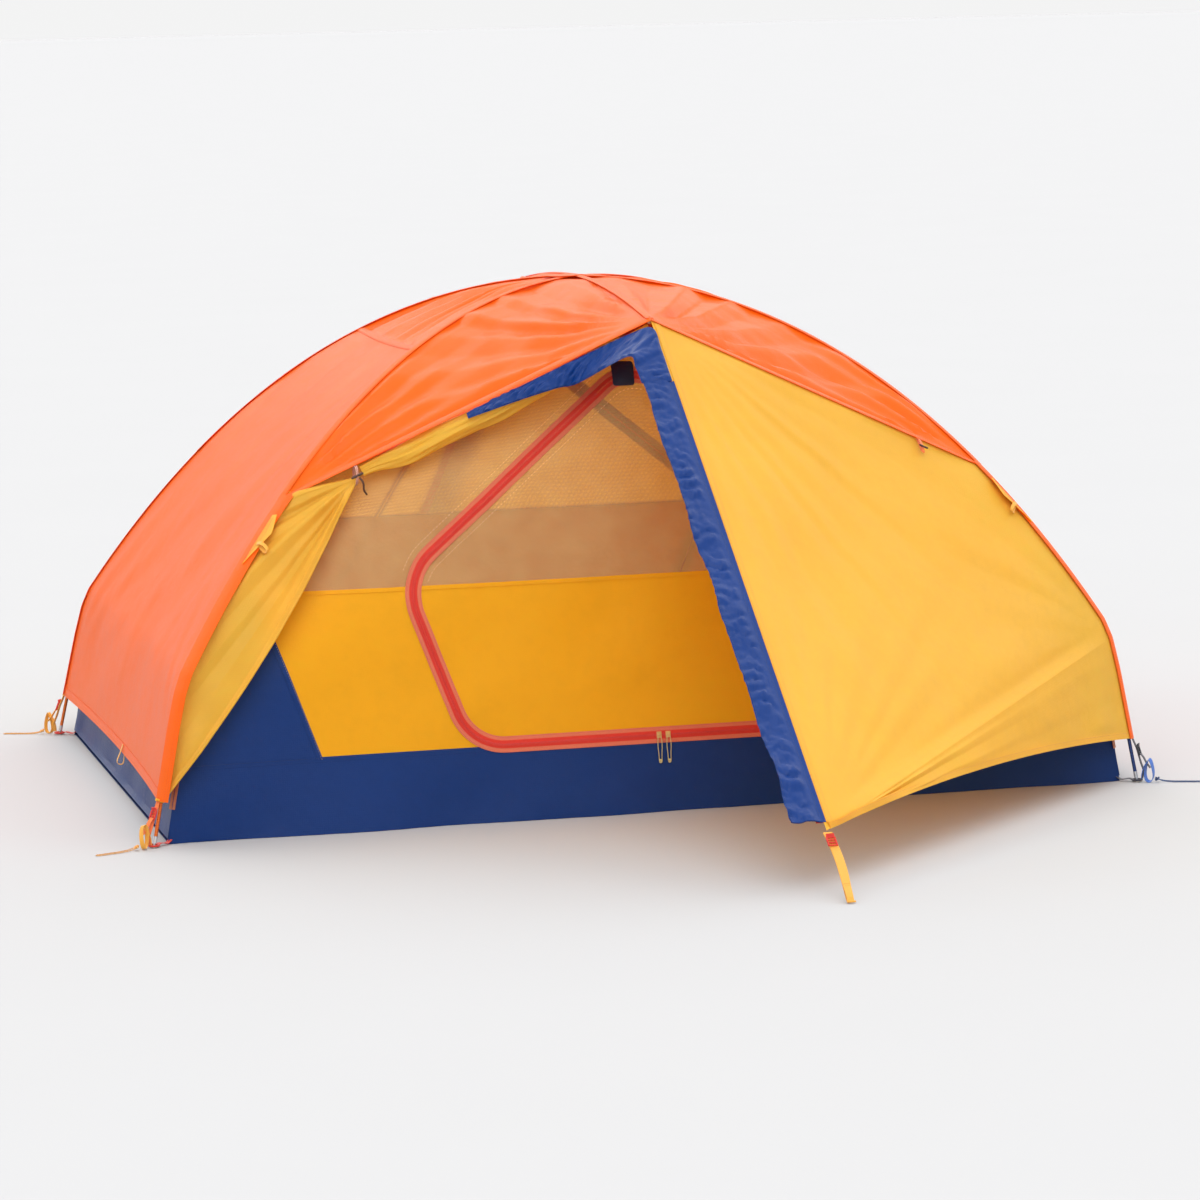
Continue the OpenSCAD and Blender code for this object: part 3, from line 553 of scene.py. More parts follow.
def plastic(name, base, rough=0.38):
    """Moulded nylon: fine spark-eroded texture, small scuffs and lighter convex edges."""
    n = Nodes(name)
    pos = n.coords("Object")
    grain, scuff = n.noise(pos, 1800.0, 3.0), n.noise(pos, 140.0, 5.0, 0.65)
    dye = n.ramp(scuff, (0.32, shade(base, 0.84)), (0.55, base), (0.78, shade(base, 1.16)))
    # Convex edges, found by the surface's pointiness, are mixed towards a lighter colour.
    edge = n.add("ShaderNodeNewGeometry").outputs["Pointiness"]
    lighter_edges = n.add("ShaderNodeMix", {"Factor": n.math("MULTIPLY", n.range(edge, 0.0, 1.0), 0.12), "A": dye,
                                   "B": (*shade(base, 1.8), 1)}, data_type="RGBA")
    b = n.add("ShaderNodeBsdfPrincipled",
              {"Base Color": lighter_edges.outputs["Result"],
               "Roughness": n.range(scuff, rough - 0.08, rough + 0.14),
               "Normal": n.bump(grain, 0.25, 0.0002), "IOR": 1.5})
    return n.surface(b.outputs[0])


def metal(name, base, rough=0.3, amount=0.9, coat=0.0):
    """Anodised or bare aluminium: drawn along the tube, with faint scratches and rubbed patches."""
    n = Nodes(name)
    pos = n.coords("Object")
    brushed = n.noise(n.add("ShaderNodeMapping", {"Vector": pos, "Scale": (9.0, 9.0, 900.0)}).outputs[0],
                      1.0, 4.0)
    patch = n.noise(pos, 22.0, 4.0, 0.6)
    dye = n.ramp(patch, (0.3, shade(base, 0.85)), (0.6, base), (0.82, shade(base, 1.25)))
    b = n.add("ShaderNodeBsdfPrincipled",
              {"Base Color": dye, "Metallic": amount, "Coat Weight": coat, "Coat Roughness": 0.2,
               "Roughness": n.range(brushed, rough - 0.06, rough + 0.12),
               "Normal": n.bump(brushed, 0.15, 0.0002)})
    return n.surface(b.outputs[0])


def thread(name, base):
    n = Nodes(name)
    twist = n.noise(n.coords("Object"), 900.0, 2.0)
    dye = n.ramp(twist, (0.3, shade(base, 0.75)), (0.7, shade(base, 1.15)))
    b = n.add("ShaderNodeBsdfPrincipled",
              {"Base Color": dye, "Roughness": n.range(twist, 0.5, 0.7), "Sheen Weight": 0.3,
               "Normal": n.bump(twist, 0.5, 0.0003)})
    return n.surface(b.outputs[0])


def floor_paper(name, base):
    n = Nodes(name)
    tone = n.noise(n.coords("Object"), 1.2, 3.0)
    dye = n.ramp(tone, (0.3, shade(base, 0.995)), (0.7, shade(base, 1.003)))
    return n.surface(n.add("ShaderNodeBsdfPrincipled", {"Base Color": dye, "Roughness": 0.9,
                                                        "Specular IOR Level": 0.1}).outputs[0])


M = {
    "orange": fabric("fly_cloth_orange", srgb(255, 112, 16), through=0.28, coat=0.16, rough=0.44),
    "amber": fabric("fly_cloth_amber", srgb(255, 212, 84), through=0.52, coat=0.12, rough=0.46),
    "gold": fabric("wall_cloth_gold", srgb(255, 188, 30), through=0.36, coat=0.03, rough=0.55,
                   grid=0.004),
    "navy": fabric("tub_cloth_navy", srgb(12, 48, 108), through=0.04, coat=0.06, rough=0.42, grid=0.005,
                   vary=0.09),
    "flap": fabric("flap_cloth_blue", srgb(0, 52, 124), through=0.08, coat=0.14, rough=0.36, grid=0.004,
                   vary=0.1),
    "trim": fabric("dark_trim_cloth", srgb(44, 44, 66), through=0.03, coat=0.05, rough=0.55, grid=0.003),
    "tape_red": webbing("zip_tape_red", srgb(232, 48, 24), 0.0012),
    "tape_pink": webbing("zip_tape_pink", srgb(236, 118, 84), 0.0012),
    "coil": thread("zip_coil_red", srgb(226, 44, 26)),
    "tan_band": webbing("binding_tan", srgb(206, 120, 78), 0.0014),
    "mesh": netting("insect_mesh", srgb(255, 200, 132), hole=0.78),
    "web_yellow": webbing("webbing_yellow", srgb(250, 176, 60)),
    "web_orange": webbing("webbing_orange", srgb(250, 120, 44)),
    "web_red": webbing("webbing_red", srgb(214, 44, 26)),
    "web_blue": webbing("webbing_blue", srgb(62, 110, 196)),
    "web_dark": webbing("webbing_dark", srgb(50, 48, 62)),
    "buckle": plastic("buckle_red", srgb(212, 46, 30)),
    "toggle": plastic("toggle_brown", srgb(74, 44, 32), 0.45),
    "black": plastic("moulded_dark", srgb(38, 38, 46), 0.42),
    "pull": braid("pull_cord_khaki", srgb(240, 214, 130), srgb(250, 240, 200)),
    "cord_orange": braid("corner_cord_orange", srgb(246, 160, 60), srgb(250, 226, 170)),
    "cord_blue": braid("corner_cord_blue", srgb(38, 58, 104), srgb(120, 150, 200)),
    "elastic": braid("elastic_pink", srgb(226, 150, 132), srgb(250, 214, 200), 0.003),
    "slider": metal("slider_metal", srgb(228, 206, 150), 0.3, 0.85),
    "pole_orange": metal("pole_anodised_orange", srgb(222, 110, 40), 0.26, 0.75, 0.3),
    "pole_navy": metal("pole_anodised_navy", srgb(40, 62, 118), 0.26, 0.7, 0.3),
    "bare": metal("bare_aluminium", srgb(206, 208, 212), 0.3, 1.0),
    "steel": metal("grommet_steel", srgb(190, 186, 176), 0.34, 1.0),
    "shock": braid("shock_cord_white", srgb(228, 226, 220), srgb(60, 90, 170), 0.005),
    "stitch_orange": thread("stitch_orange", srgb(226, 84, 40)),
    "stitch_amber": thread("stitch_amber", srgb(226, 152, 50)),
    "stitch_light": thread("stitch_light", srgb(250, 200, 140)),
    "stitch_navy": thread("stitch_navy", srgb(16, 28, 62)),
    "stitch_red": thread("stitch_red", srgb(190, 60, 40)),
}

CAD_LOOKS = {
    "pole_a_left": "pole_orange", "pole_b_left": "pole_orange", "pole_a_right": "pole_navy",
             "pole_b_right": "pole_navy",
    "brow_pole": "bare", "pole_ferrules": "bare", "pole_tips": "bare", "shock_cords": "shock",
             "crown_hub": "black",
    "pole_clips": "black", "corner_grommets": "steel",
}
for node_name, look in CAD_LOOKS.items():
    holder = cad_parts[node_name]
    for place in holder.material_slots:
        place.material = M[look]


# ---------- camera, floor and light ----------
VIEW = {"azimuth": math.radians(-13.45), "elevation": math.radians(7.54), "roll": math.radians(-1.41)}
VIEW_DISTANCE, VIEW_RIGHT, VIEW_UP = 11.91, 0.069, 0.399
LENS_OVER_WIDTH = 3.905


def make_camera():
    sa, ca = math.sin(VIEW["azimuth"]), math.cos(VIEW["azimuth"])
    se, ce = math.sin(VIEW["elevation"]), math.cos(VIEW["elevation"])
    back = arr(sa * ce, -ca * ce, se)
    right = unit(np.cross(-back, arr(0, 0, 1)))
    up = np.cross(right, -back)
    c, s = math.cos(VIEW["roll"]), math.sin(VIEW["roll"])
    right, up = c * right + s * up, -s * right + c * up
    cam = bpy.data.objects.new("camera", bpy.data.cameras.new("camera"))
    cam.data.sensor_width = 36.0
    cam.data.lens = 36.0 * LENS_OVER_WIDTH
    cam.data.clip_end = 200
    place = back * VIEW_DISTANCE + right * VIEW_RIGHT + up * VIEW_UP
    rotation = Matrix((right, up, back)).transposed()
    cam.matrix_world = Matrix.Translation(Vector(place)) @ rotation.to_4x4()
    bpy.context.scene.collection.objects.link(cam)
    bpy.context.scene.camera = cam


FLOOR_COLOUR = (0.505, 0.505, 0.510)
SKY_RIM, SKY_HIGH = 0.90, 0.50
# Softboxes: direction towards each, half angle in degrees, softness of its edge and brightness
SOFTBOXES = (((0.5, 0.7, 0.8), 44, 10, 1.45), ((-0.7, 0.8, 0.62), 36, 9, 1.25),
             ((-0.05, -0.60, 1.0), 22, 6, 2.6), ((-0.45, -1.0, 0.55), 26, 8, 1.6),
             ((1.0, -0.75, 0.6), 20, 8, 1.0))


def make_studio():
    half, cells = 400.0, 8
    line = steps(-half, half, cells + 1)
    gx, gy = np.meshgrid(line, line, indexing="ij")
    ground = np.stack([gx, gy, np.zeros_like(gx)], -1)
    k = cells + 1
    faces = [[i * k + j, (i + 1) * k + j, (i + 1) * k + j + 1, i * k + j + 1]
             for i in range(cells) for j in range(cells)]
    floor = make_mesh("studio_floor", ground.reshape(-1, 3), faces,
                      floor_paper("pale_floor", FLOOR_COLOUR))
    world = bpy.data.worlds.new("studio")
    bpy.context.scene.world = world
    world.use_nodes = True
    tree = world.node_tree

    def node(kind, **inputs):
        n = tree.nodes.new(kind)
        for key, value in inputs.items():
            slot_in = n.inputs[int(key[1:])]
            if isinstance(value, bpy.types.NodeSocket):
                tree.links.new(value, slot_in)
            else:
                slot_in.default_value = value
        return n

    def math_node(op, *values):
        n = node("ShaderNodeMath", **{f"i{k}": v for k, v in enumerate(values)})
        n.operation = op
        return n.outputs[0]

    def soft_step(value, low, high):
        n = node("ShaderNodeMapRange", i0=value, i1=low, i2=high)
        n.interpolation_type = "SMOOTHSTEP"
        return n.outputs[0]

    ray = tree.nodes.new("ShaderNodeTexCoord").outputs["Generated"]
    height = node("ShaderNodeSeparateXYZ", i0=ray).outputs["Z"]
    total = math_node("MULTIPLY_ADD", soft_step(height, 0.14, 0.34), SKY_HIGH - SKY_RIM, SKY_RIM)
    for place, half_angle, edge, bright in SOFTBOXES:
        dot = node("ShaderNodeVectorMath", i0=ray, i1=tuple(unit(arr(*place))))
        dot.operation = "DOT_PRODUCT"
        low, high = (math.cos(math.radians(half_angle + k * edge)) for k in (1, -1))
        above = soft_step(height, 0.16, 0.30)
        lobe = math_node("MULTIPLY", soft_step(dot.outputs["Value"], low, high), above)
        total = math_node("MULTIPLY_ADD", lobe, bright, total)
    tree.links.new(total, tree.nodes["Background"].inputs["Strength"])
    tree.nodes["Background"].inputs["Color"].default_value = (1.0, 1.0, 1.0, 1)
    bpy.context.scene.view_settings.view_transform = "Standard"


make_camera()
make_studio()


# ---------- cords ----------
def cord_curve(name, route, diameter, material):
    curve = bpy.data.curves.new(name, "CURVE")
    curve.dimensions = "3D"
    line = curve.splines.new("POLY")
    line.points.add(len(route) - 1)
    for p, q in zip(line.points, route):
        p.co = (*q, 1)
    curve.bevel_depth = diameter / 2
    curve.bevel_resolution = 4
    curve.use_fill_caps = True
    curve.materials.append(material)
    o = bpy.data.objects.new(name, curve)
    bpy.context.scene.collection.objects.link(o)
    return o


def route_length(route):
    return float(np.linalg.norm(np.diff(route, axis=0), axis=1).sum())


# From the slider's eye down to the knot and back up, and from a stake loop out over the ground and back
PULL_ROUTE = arr([-2, -9, -2], [-4, -10, -7], [-5, -11, -16], [-5, -12, -28], [-4, -13, -40],
                 [-3.5, -14, -52], [-3.5, -15, -60], [-2.5, -15, -64], [0, -15, -65.5], [2.5, -15, -64],
                 [3.5, -15, -60], [3.5, -14, -52], [4, -13, -40], [5, -12, -28], [5, -11, -16],
                 [4, -10, -7], [2, -9, -2]) / 1000
CORNER_ROUTE = arr([-1236, -902, 14], [-1242, -903, 9], [-1250, -906, 5], [-1262, -910, 3],
                   [-1280, -917, 2], [-1300, -925, 2], [-1316, -931, 2], [-1328, -936, 2],
                   [-1336, -937, 2], [-1340, -932, 2], [-1337, -926, 2], [-1322, -921, 2],
                   [-1302, -913, 2], [-1280, -904, 2], [-1262, -896, 3], [-1248, -891, 6],
                   [-1238, -889, 12]) / 1000
PULL_D, CORNER_D = 0.0018, 0.0022
SLIDER_X = {"left": 0.020, "right": 0.042}
DOOR_LOW = TUB_H + 0.008
DOOR_Y = WALL_Y - WALL_LEAN * DOOR_LOW


def turned(p, f):
    """The front's points for f = -1, and the same turned half round for the back, f = 1."""
    return np.asarray(p, float) * (arr(1, 1, 1) if f < 0 else arr(-1, -1, 1))


for f, end in END.items():
    for side, x in SLIDER_X.items():
        route = turned(PULL_ROUTE + arr(x, -DOOR_Y, DOOR_LOW), f)
        name = f"{end}_pull_{side}"
        pull = put(cord_curve(name + "_cord", route, PULL_D, M["pull"]), f"{end}_zip_{side}", "pull_cord",
                   name)
for corner, (sx, sy) in CORNERS.items():
    route = CORNER_ROUTE * arr(-sx, -sy, 1)
    name = f"corner_cord_{corner}"
    look = M["cord_orange"] if sx < 0 else M["cord_blue"]
    loop = put(cord_curve(name + "_loop", route, CORNER_D, look), "root", "corner_cord", name)


# ---------- fly: geometry shared by its pieces ----------
def zip_at(f, t):
    return mix(tip(f), point(f), t)


def zip_dir(f):
    return unit(point(f) - tip(f))


def zip_len(f):
    return float(np.linalg.norm(point(f) - tip(f)))


def half_normal(f, sx):
    n = unit(np.cross(crest((sx, f), SEAM_S) - tip(f), point(f) - tip(f)))
    return n if n[2] > 0 else -n


def half_across(f, sx):
    """Away from the zip line, in the plane of a closed half."""
    d = np.cross(zip_dir(f), half_normal(f, sx))
    return d if d[0] * sx > 0 else -d


def flap_frame(f):
    """Directions across and out of a storm flap: level in front, along the closed half at the back."""
    if f > 0:
        return half_across(f, f), half_normal(f, f)
    d = zip_dir(f)
    w = unit(arr(f, 0, 0) - arr(f, 0, 0) @ d * d)
    n = np.cross(w, d)
    return w, (n if n[2] > 0 else -n)


def outward(g, centre=(0.0, 0.0, 0.35)):
    """Grid normals that point out of the tent."""
    n = grid_normals(g)
    side = ((g - arr(*centre)) * n).sum(-1).mean()
    return n if side > 0 else -n


def oriented(g):
    """The same grid with its normals pointing out of the tent."""
    n = grid_normals(g)
    return g if ((g - arr(0, 0, 0.35)) * n).sum() > 0 else g[:, ::-1]


def ruled(a, b, n):
    w = steps(0, 1, n)[None, :, None]
    return a[:, None] + (b - a)[:, None] * w


def edge_fade(m, n, u0=0.05, u1=0.05, v0=0.05, v1=0.05):
    """1 inside a grid and 0 on its four edges."""
    u, v = steps(0, 1, m)[:, None], steps(0, 1, n)[None, :]
    return smooth(u, 0, u0) * smooth(1 - u, 0, u1) * smooth(v, 0, v0) * smooth(1 - v, 0, v1)


def angles(g, apex, zero, turn):
    """Angle of each grid point about an apex, from one direction towards another."""
    d = g - apex
    return np.arctan2(d @ unit(turn - turn @ unit(zero) * unit(zero)), d @ unit(zero))


def tension(g, apex, zero, turn, count, seed, reach=1.0):
    """Folds that fan out from a pulled corner, deepest part of the way out."""
    a = angles(g, apex, zero, turn)
    r = np.linalg.norm(g - apex, axis=-1)
    low, high = np.percentile(a, 1), np.percentile(a, 99)
    fold = creases(a, low, high, count, seed)
    return fold * smooth(r, 0.02, 0.35 * reach) * (1 - 0.75 * smooth(r, 0.35 * reach, 1.1 * reach))


def fly_piece(name, g, slot, material, nodes=(), body="root", thick=FLY_T):
    return put(cloth(name, oriented(g), M[material], thick), body, slot, *nodes)


def declared(o):
    return o


def grid_size(g):
    """Flat width, length and area of a grid, as the tape measure finds them."""
    width = float(np.linalg.norm(np.diff(g, axis=1), axis=2).sum(1).max())
    length = float(np.linalg.norm(np.diff(g, axis=0), axis=2).sum(0).max())
    du, dv = g[1:, :-1] - g[:-1, :-1], g[:-1, 1:] - g[:-1, :-1]
    area = float(np.linalg.norm(np.cross(du, dv), axis=2).sum())
    return width, length, area


def declare_grid(o, g):
    width, length, area = grid_size(g)
    share = min(1.0, max(0.301, area / (width * length)))
    area = round(share * width * length, 3) * 0.995
    return declared(o)


# ---------- fly: side and brow panels ----------
def side_grid(sx, s0, s1, m, n):
    s = steps(s0, s1, m)
    g = ruled(crest((sx, -1), s), crest((sx, 1), s), n)
    span = np.linalg.norm(g[:, -1] - g[:, 0], axis=1)
    w = steps(0, 1, n)
    return g - outward(g) * (0.013 * span[:, None] * 4 * w * (1 - w))[..., None]


def roof_panel(sx):
    name = SIDE[sx]
    g = side_grid(sx, 0.006, ROOF_S, 70, 70)
    top = crest((sx, -1), 0.0)
    fan = tension(g, top, arr(sx, 0, -0.25), arr(0, -1.0, 0), 13, 11 + sx, 0.9)
    soft = waves(g, 0.30, 21 + sx) * 0.0022 + waves(g, 0.10, 31 + sx) * 0.0006
    g = g + outward(g) * ((fan * 0.0125 + soft * 1.3) * edge_fade(70, 70))[..., None]
    o = fly_piece(f"fly_roof_{name}", g, "fly_orange", "orange", [f"fly_{name}"])
    declare_grid(o, g)


def end_panel(sx):
    name = SIDE[sx]
    g = side_grid(sx, ROOF_S, HEM_S, 110, 90)
    pull_f = tension(g, crest((sx, -1), HEM_S), arr(0, 0, 1.0), arr(0, 1.0, 0), 9, 41 + sx, 1.1)
    pull_b = tension(g, crest((sx, 1), HEM_S), arr(0, 0, 1.0), arr(0, -1.0, 0), 9, 51 + sx, 1.1)
    top = tension(g, crest((sx, -1), ROOF_S), arr(0, 0, -1.0), arr(0, 1.0, 0), 11, 61 + sx, 1.2)
    soft = waves(g * arr(1, 1, 0.5), 0.42, 71 + sx) * 0.0032 + waves(g, 0.12, 81 + sx) * 0.0007
    h = (pull_f + pull_b) * 0.0030 + top * 0.0032 + soft
    g = g + outward(g) * (h * edge_fade(110, 90, v0=0.03, v1=0.03))[..., None]
    o = fly_piece(f"fly_end_{name}", g, "fly_orange", "orange")
    declare_grid(o, g)


def brow_panel(f, sx):
    m, n = 80, 70
    v = steps(0.012, 1.0, m)
    ridge_line = mix(brow(f * BROW_Y * v), np.broadcast_to(tip(f), (m, 3)), v**8)
    g = ruled(ridge_line, crest((sx, f), SEAM_S * v), n)
    w = steps(0, 1, n)
    g = g - outward(g) * (0.012 * (4 * w * (1 - w))[None] * v[:, None])[..., None]
    seed = 101 + 3 * f + sx
    fan = tension(g, tip(f), arr(0, -f, 0), arr(sx, 0, -0.2), 13, seed, 0.75)
    side = tension(g, crest((sx, f), SEAM_S), arr(-sx, -f * 0.6, 0.3), arr(-sx, f * 0.4, 0.2), 9,
                   seed + 40, 0.6)
    soft = waves(g, 0.22, seed + 9) * 0.0020 + waves(g, 0.08, seed + 19) * 0.0006
    h = (fan * 0.0140 + side * 0.0095 + soft * 1.3) * edge_fade(m, n, u0=0.02, u1=0.04)
    g = g + outward(g) * h[..., None]
    name = f"fly_brow_{END[f]}_{SIDE[sx]}"
    nodes = ["fly_brow_panels"] if (f, sx) == (-1, -1) else []
    o = fly_piece(name, g, "fly_orange", "orange", nodes)
    declare_grid(o, g)


# ---------- fly: closed vestibule halves ----------
def main_half_grid(f, sx, m, n):
    r = steps(0.0, 1.0, m)
    return ruled(zip_at(f, r), crest((sx, f), mix(SEAM_S, KINK_S, r)), n)


def low_half_grid(f, sx, m, n):
    r, w = steps(0.0, 1.0, m), steps(0, 1, n)
    far = crest((sx, f), mix(KINK_S, HEM_S, r))
    near = np.broadcast_to(point(f), (m, 3))
    g = ruled(near, far, n)
    lift = 0.034 * r[:, None] * (4 * w * (1 - w))[None]
    return g + lift[..., None] * arr(0, 0, 1.0)


def closed_half(f, sx):
    m, n = 110, 90
    g = main_half_grid(f, sx, m, n)
    r, w = steps(0, 1, m)[:, None], steps(0, 1, n)[None]
    seed = 201 + 5 * f + sx
    along = zip_dir(f)
    fan = tension(g, tip(f), along, half_across(f, sx), 17, seed, 1.5)
    near_zip = 1 - smooth(np.broadcast_to(w, (m, n)), 0.25, 0.7)
    pull = tension(g, point(f), -along, half_across(f, sx), 15, seed + 7, 1.3)
    bend = crest((sx, f), KINK_S)
    elbow = tension(g, bend, unit(tip(f) - bend), along, 9, seed + 13, 0.9)
    soft = waves(g, 0.40, seed + 3) * 0.0036 + waves(g, 0.13, seed + 4) * 0.0008
    sag = -0.022 * np.sin(math.pi * np.clip(r * 0.95, 0, 1)) * 4 * w * (1 - w)
    h = fan * (0.0016 + 0.0026 * near_zip) + pull * 0.0036 + elbow * 0.0028 + soft + sag
    bend = -0.016 * np.exp(-((1 - r) / 0.10) ** 2) * smooth(w, 0.0, 0.25) * smooth(1 - w, 0, 0.15)
    h = h + bend
    n_out = outward(g, (0, f * 0.6, 0.2))
    fade = edge_fade(m, n, u0=0.04, u1=0.035, v0=0.03, v1=0.03)
    g = g + n_out * (h * fade)[..., None]
    end, side = END[f], SIDE[sx]
    main = fly_piece(f"vestibule_{end}_{side}_main", g, "fly_amber", "amber", [f"vestibule_{end}_{side}"])
    declare_grid(main, g)
    low = low_half_grid(f, sx, 34, n)
    w = steps(0, 1, n)[None]
    fans = tension(low, point(f), arr(sx, 0, 0), arr(0, 0, 1.0), 7, seed + 27)
    ripple = waves(low, 0.22, seed + 23) * 0.003 + fans * 0.005
    low = low + outward(low, (0, f * 0.4, 0.3)) * (ripple * edge_fade(34, n, u0=0.3, u1=0.2))[..., None]
    skirt = fly_piece(f"vestibule_{end}_{side}_skirt", low[:, 1:], "fly_amber", "amber")
    declare_grid(skirt, low[:, 1:])
    rim = low[-1, 1:]
    nrm = outward(low, (0, f * 0.4, 0.3))[-1, 1:]
    up = unit(low[-2, 1:] - low[-1, 1:])
    hem = [band_part(rim + up * 0.008, up, nrm, 0.016, BAND_T, lift=s * 0.0012) for s in (1, -1)]
    sew(f"vestibule_{end}_{side}_hem", hem, "amber", "root", "fly_amber")
    rows = [stitch_part(rim + up * 0.013 + nrm * 0.0018, nrm, FINE_PITCH)]
    sew(f"vestibule_{end}_{side}_hem_stitching", rows, "stitch_amber", "root", "fly_amber")


def zip_facing(f, sx):
    """The folded edge of a closed half beside the zip, with two rows of stitches."""
    name = f"zip_facing_{END[f]}_{SIDE[sx]}"
    t = steps(0.01, 0.985, 160)
    d, n = half_across(f, sx), half_normal(f, sx)
    line = zip_at(f, t)
    parts = [band_part(line + d * 0.0155, d, n, 0.018, 0.0011, lift=0.0016, crown=0.0010, cells=6)]
    sew(name, parts, "amber", "root", "fly_amber")
    rows = [stitch_part(line + d * x + n * 0.0030, n, SEAM_PITCH) for x in (0.0095, 0.0215)]
    sew(name + "_stitching", rows, "stitch_amber", "root", "fly_amber")


# ---------- fly: the front left half, gathered and tied back ----------
TIE = seam_at(-1, -1, TIE_T) + arr(0.006, -0.008, -0.030)


def gathered_roll():
    t = steps(0.012, TIE_T - 0.012, 150)
    path = seam_at(-1, -1, t)
    fat = 0.0210 * smooth(t, 0.0, 0.45)**0.8 * (1 - 0.60 * smooth(t, 0.66, TIE_T - 0.005)) + 0.003
    path = path + arr(0.006, 0.002, -0.010) - np.outer(fat * 0.95 + 0.004 * t, arr(0, 0, 1.0))
    path = path + np.stack([0 * t, waves(t[:, None], 0.22, 5) * 0.0022,
                            waves(t[:, None], 0.30, 6) * 0.0020], 1)
    sides = 64
    verts, faces, uv = tube_part(path, fat, sides)
    ang = np.tile(steps(0, 2 * math.pi, sides + 1)[:-1], len(path))
    s = np.repeat(t, sides)
    lobes = (0.13 * np.sin(3 * ang + 9 * s) + 0.09 * np.sin(7 * ang - 14 * s + 1.3)
             + 0.05 * np.sin(13 * ang + 23 * s))
    centre = np.repeat(path, sides, 0)
    verts = centre + (verts - centre) * (1 + lobes)[:, None]
    o = make_mesh("vestibule_front_left_roll", verts, faces, M["amber"], uv)
    return put(o, "root", "fly_amber", "vestibule_front_left")


def free_edge(r):
    corner = crest((-1, -1), HEM_S)
    bulge = np.sin(math.pi * np.asarray(r))[..., None] * arr(0.026, -0.050, -0.010)
    return mix(TIE, corner, r) + bulge


def gathered_fan():
    m, n = 170, 70
    r = steps(0.0, 1.0, m)
    s = mix(SEAM_S - 0.02, HEM_S, r)
    outer = crest((-1, -1), s) + arr(0.002, -0.004, -0.002)
    free = free_edge(smooth(r, 0.0, 1.0) * 0.35 + r * 0.65)
    free = mix(np.broadcast_to(TIE, (m, 3)), free, smooth(r, 0.02, 0.28))
    g = ruled(outer, free, n)
    w = steps(0, 1, n)[None]
    a = angles(g, TIE, unit(crest((-1, -1), HEM_S) - TIE), arr(-1.0, 0, 0.3))
    dist = np.linalg.norm(g - TIE, axis=-1)
    pleat = creases(a, -0.25, 2.0, 13, 77) + creases(a, -0.25, 2.0, 31, 78) * 0.35
    depth = 0.0150 * smooth(dist, 0.0, 0.14) * (1 - 0.55 * smooth(dist, 0.3, 1.1)) * smooth(w, 0.0, 0.22)
    roll = 0.010 * np.exp(-((1 - w) / 0.10) ** 2) * smooth(r[:, None], 0.02, 0.2)
    n_out = unit(np.cross(free - outer, crest((-1, -1), HEM_S) - crest((-1, -1), SEAM_S)))
    n_out = n_out * np.sign(n_out[:, 1:2]) * -1
    soft = waves(g, 0.16, 79) * 0.0015
    g = g + n_out[:, None] * (pleat * depth + roll + soft * smooth(w, 0, 0.2))[..., None]
    o = fly_piece("vestibule_front_left_fan", g, "fly_amber", "amber")
    declare_grid(o, g)
    edge = g[4:, -1]
    nrm = n_out[4:]
    inward = unit(g[4:, -3] - edge)
    hem = edge + inward * 0.006
    parts = [band_part(hem, inward, nrm, 0.014, 0.0012, lift=k * 0.0014) for k in (1, -1)]
    parts.append(tube_part(edge, 0.0032, 10))
    sew("vestibule_front_left_rolled_edge", parts, "amber", "root", "fly_amber")


# ---------- fly: storm flaps ----------
FLAP_START = 0.13


def storm_flap(f):
    end = END[f]
    m, n = 260, 22
    t, w = steps(FLAP_START + 0.003, 0.985, m), steps(0.003, FLAP_W, n)
    d, out = flap_frame(f)
    g = zip_at(f, t)[:, None] + d * w[None, :, None]
    u = np.stack(np.broadcast_arrays(t[:, None] * zip_len(f), w[None] * 1.4), -1)
    crinkle = np.abs(waves(u, 0.085, 300 + f, 7)) * 0.0046 + np.abs(waves(u, 0.034, 310 + f, 7)) * 0.0018
    free = smooth(w, 0.008, 0.030)[None]
    curl = 0.006 * (w[None] / FLAP_W)**2 * (1 + 0.6 * waves(u[..., :1], 0.35, 320 + f))
    h = 0.0012 + 0.0020 * smooth(w, 0.003, 0.014)[None] + crinkle * free + curl
    g = g + out * h[..., None]
    g = g + d * (0.0028 * waves(u[..., :1], 0.30, 330 + f) * (w[None] / FLAP_W))[..., None]
    body = f"flap_{end}"
    o = fly_piece(f"storm_flap_{end}_cloth", g, "flap_blue", "flap", [f"storm_flap_{end}"], body)
    declare_grid(o, g)
    nrm = np.broadcast_to(out, (m, 3))
    rows = [stitch_part(g[:, 1] + nrm * 0.0010, nrm, FINE_PITCH),
            stitch_part(g[:, -2] + nrm * 0.0010, nrm, FINE_PITCH)]
    sew(f"storm_flap_{end}_stitching", rows, "stitch_navy", body, "flap_blue")
    fold = [band_part(g[-1] - zip_dir(f) * 0.006, zip_dir(f), out, 0.014, BAND_T,
                      lift=k * 0.0013) for k in (1, -1)]
    sew(f"storm_flap_{end}_hem", fold, "flap", body, "flap_blue")
    root = [band_part(zip_at(f, t) + d * 0.0005, d, out, 0.011, 0.0008, lift=0.0004)]
    sew(f"storm_flap_{end}_root", root, "flap", "root", "flap_blue")


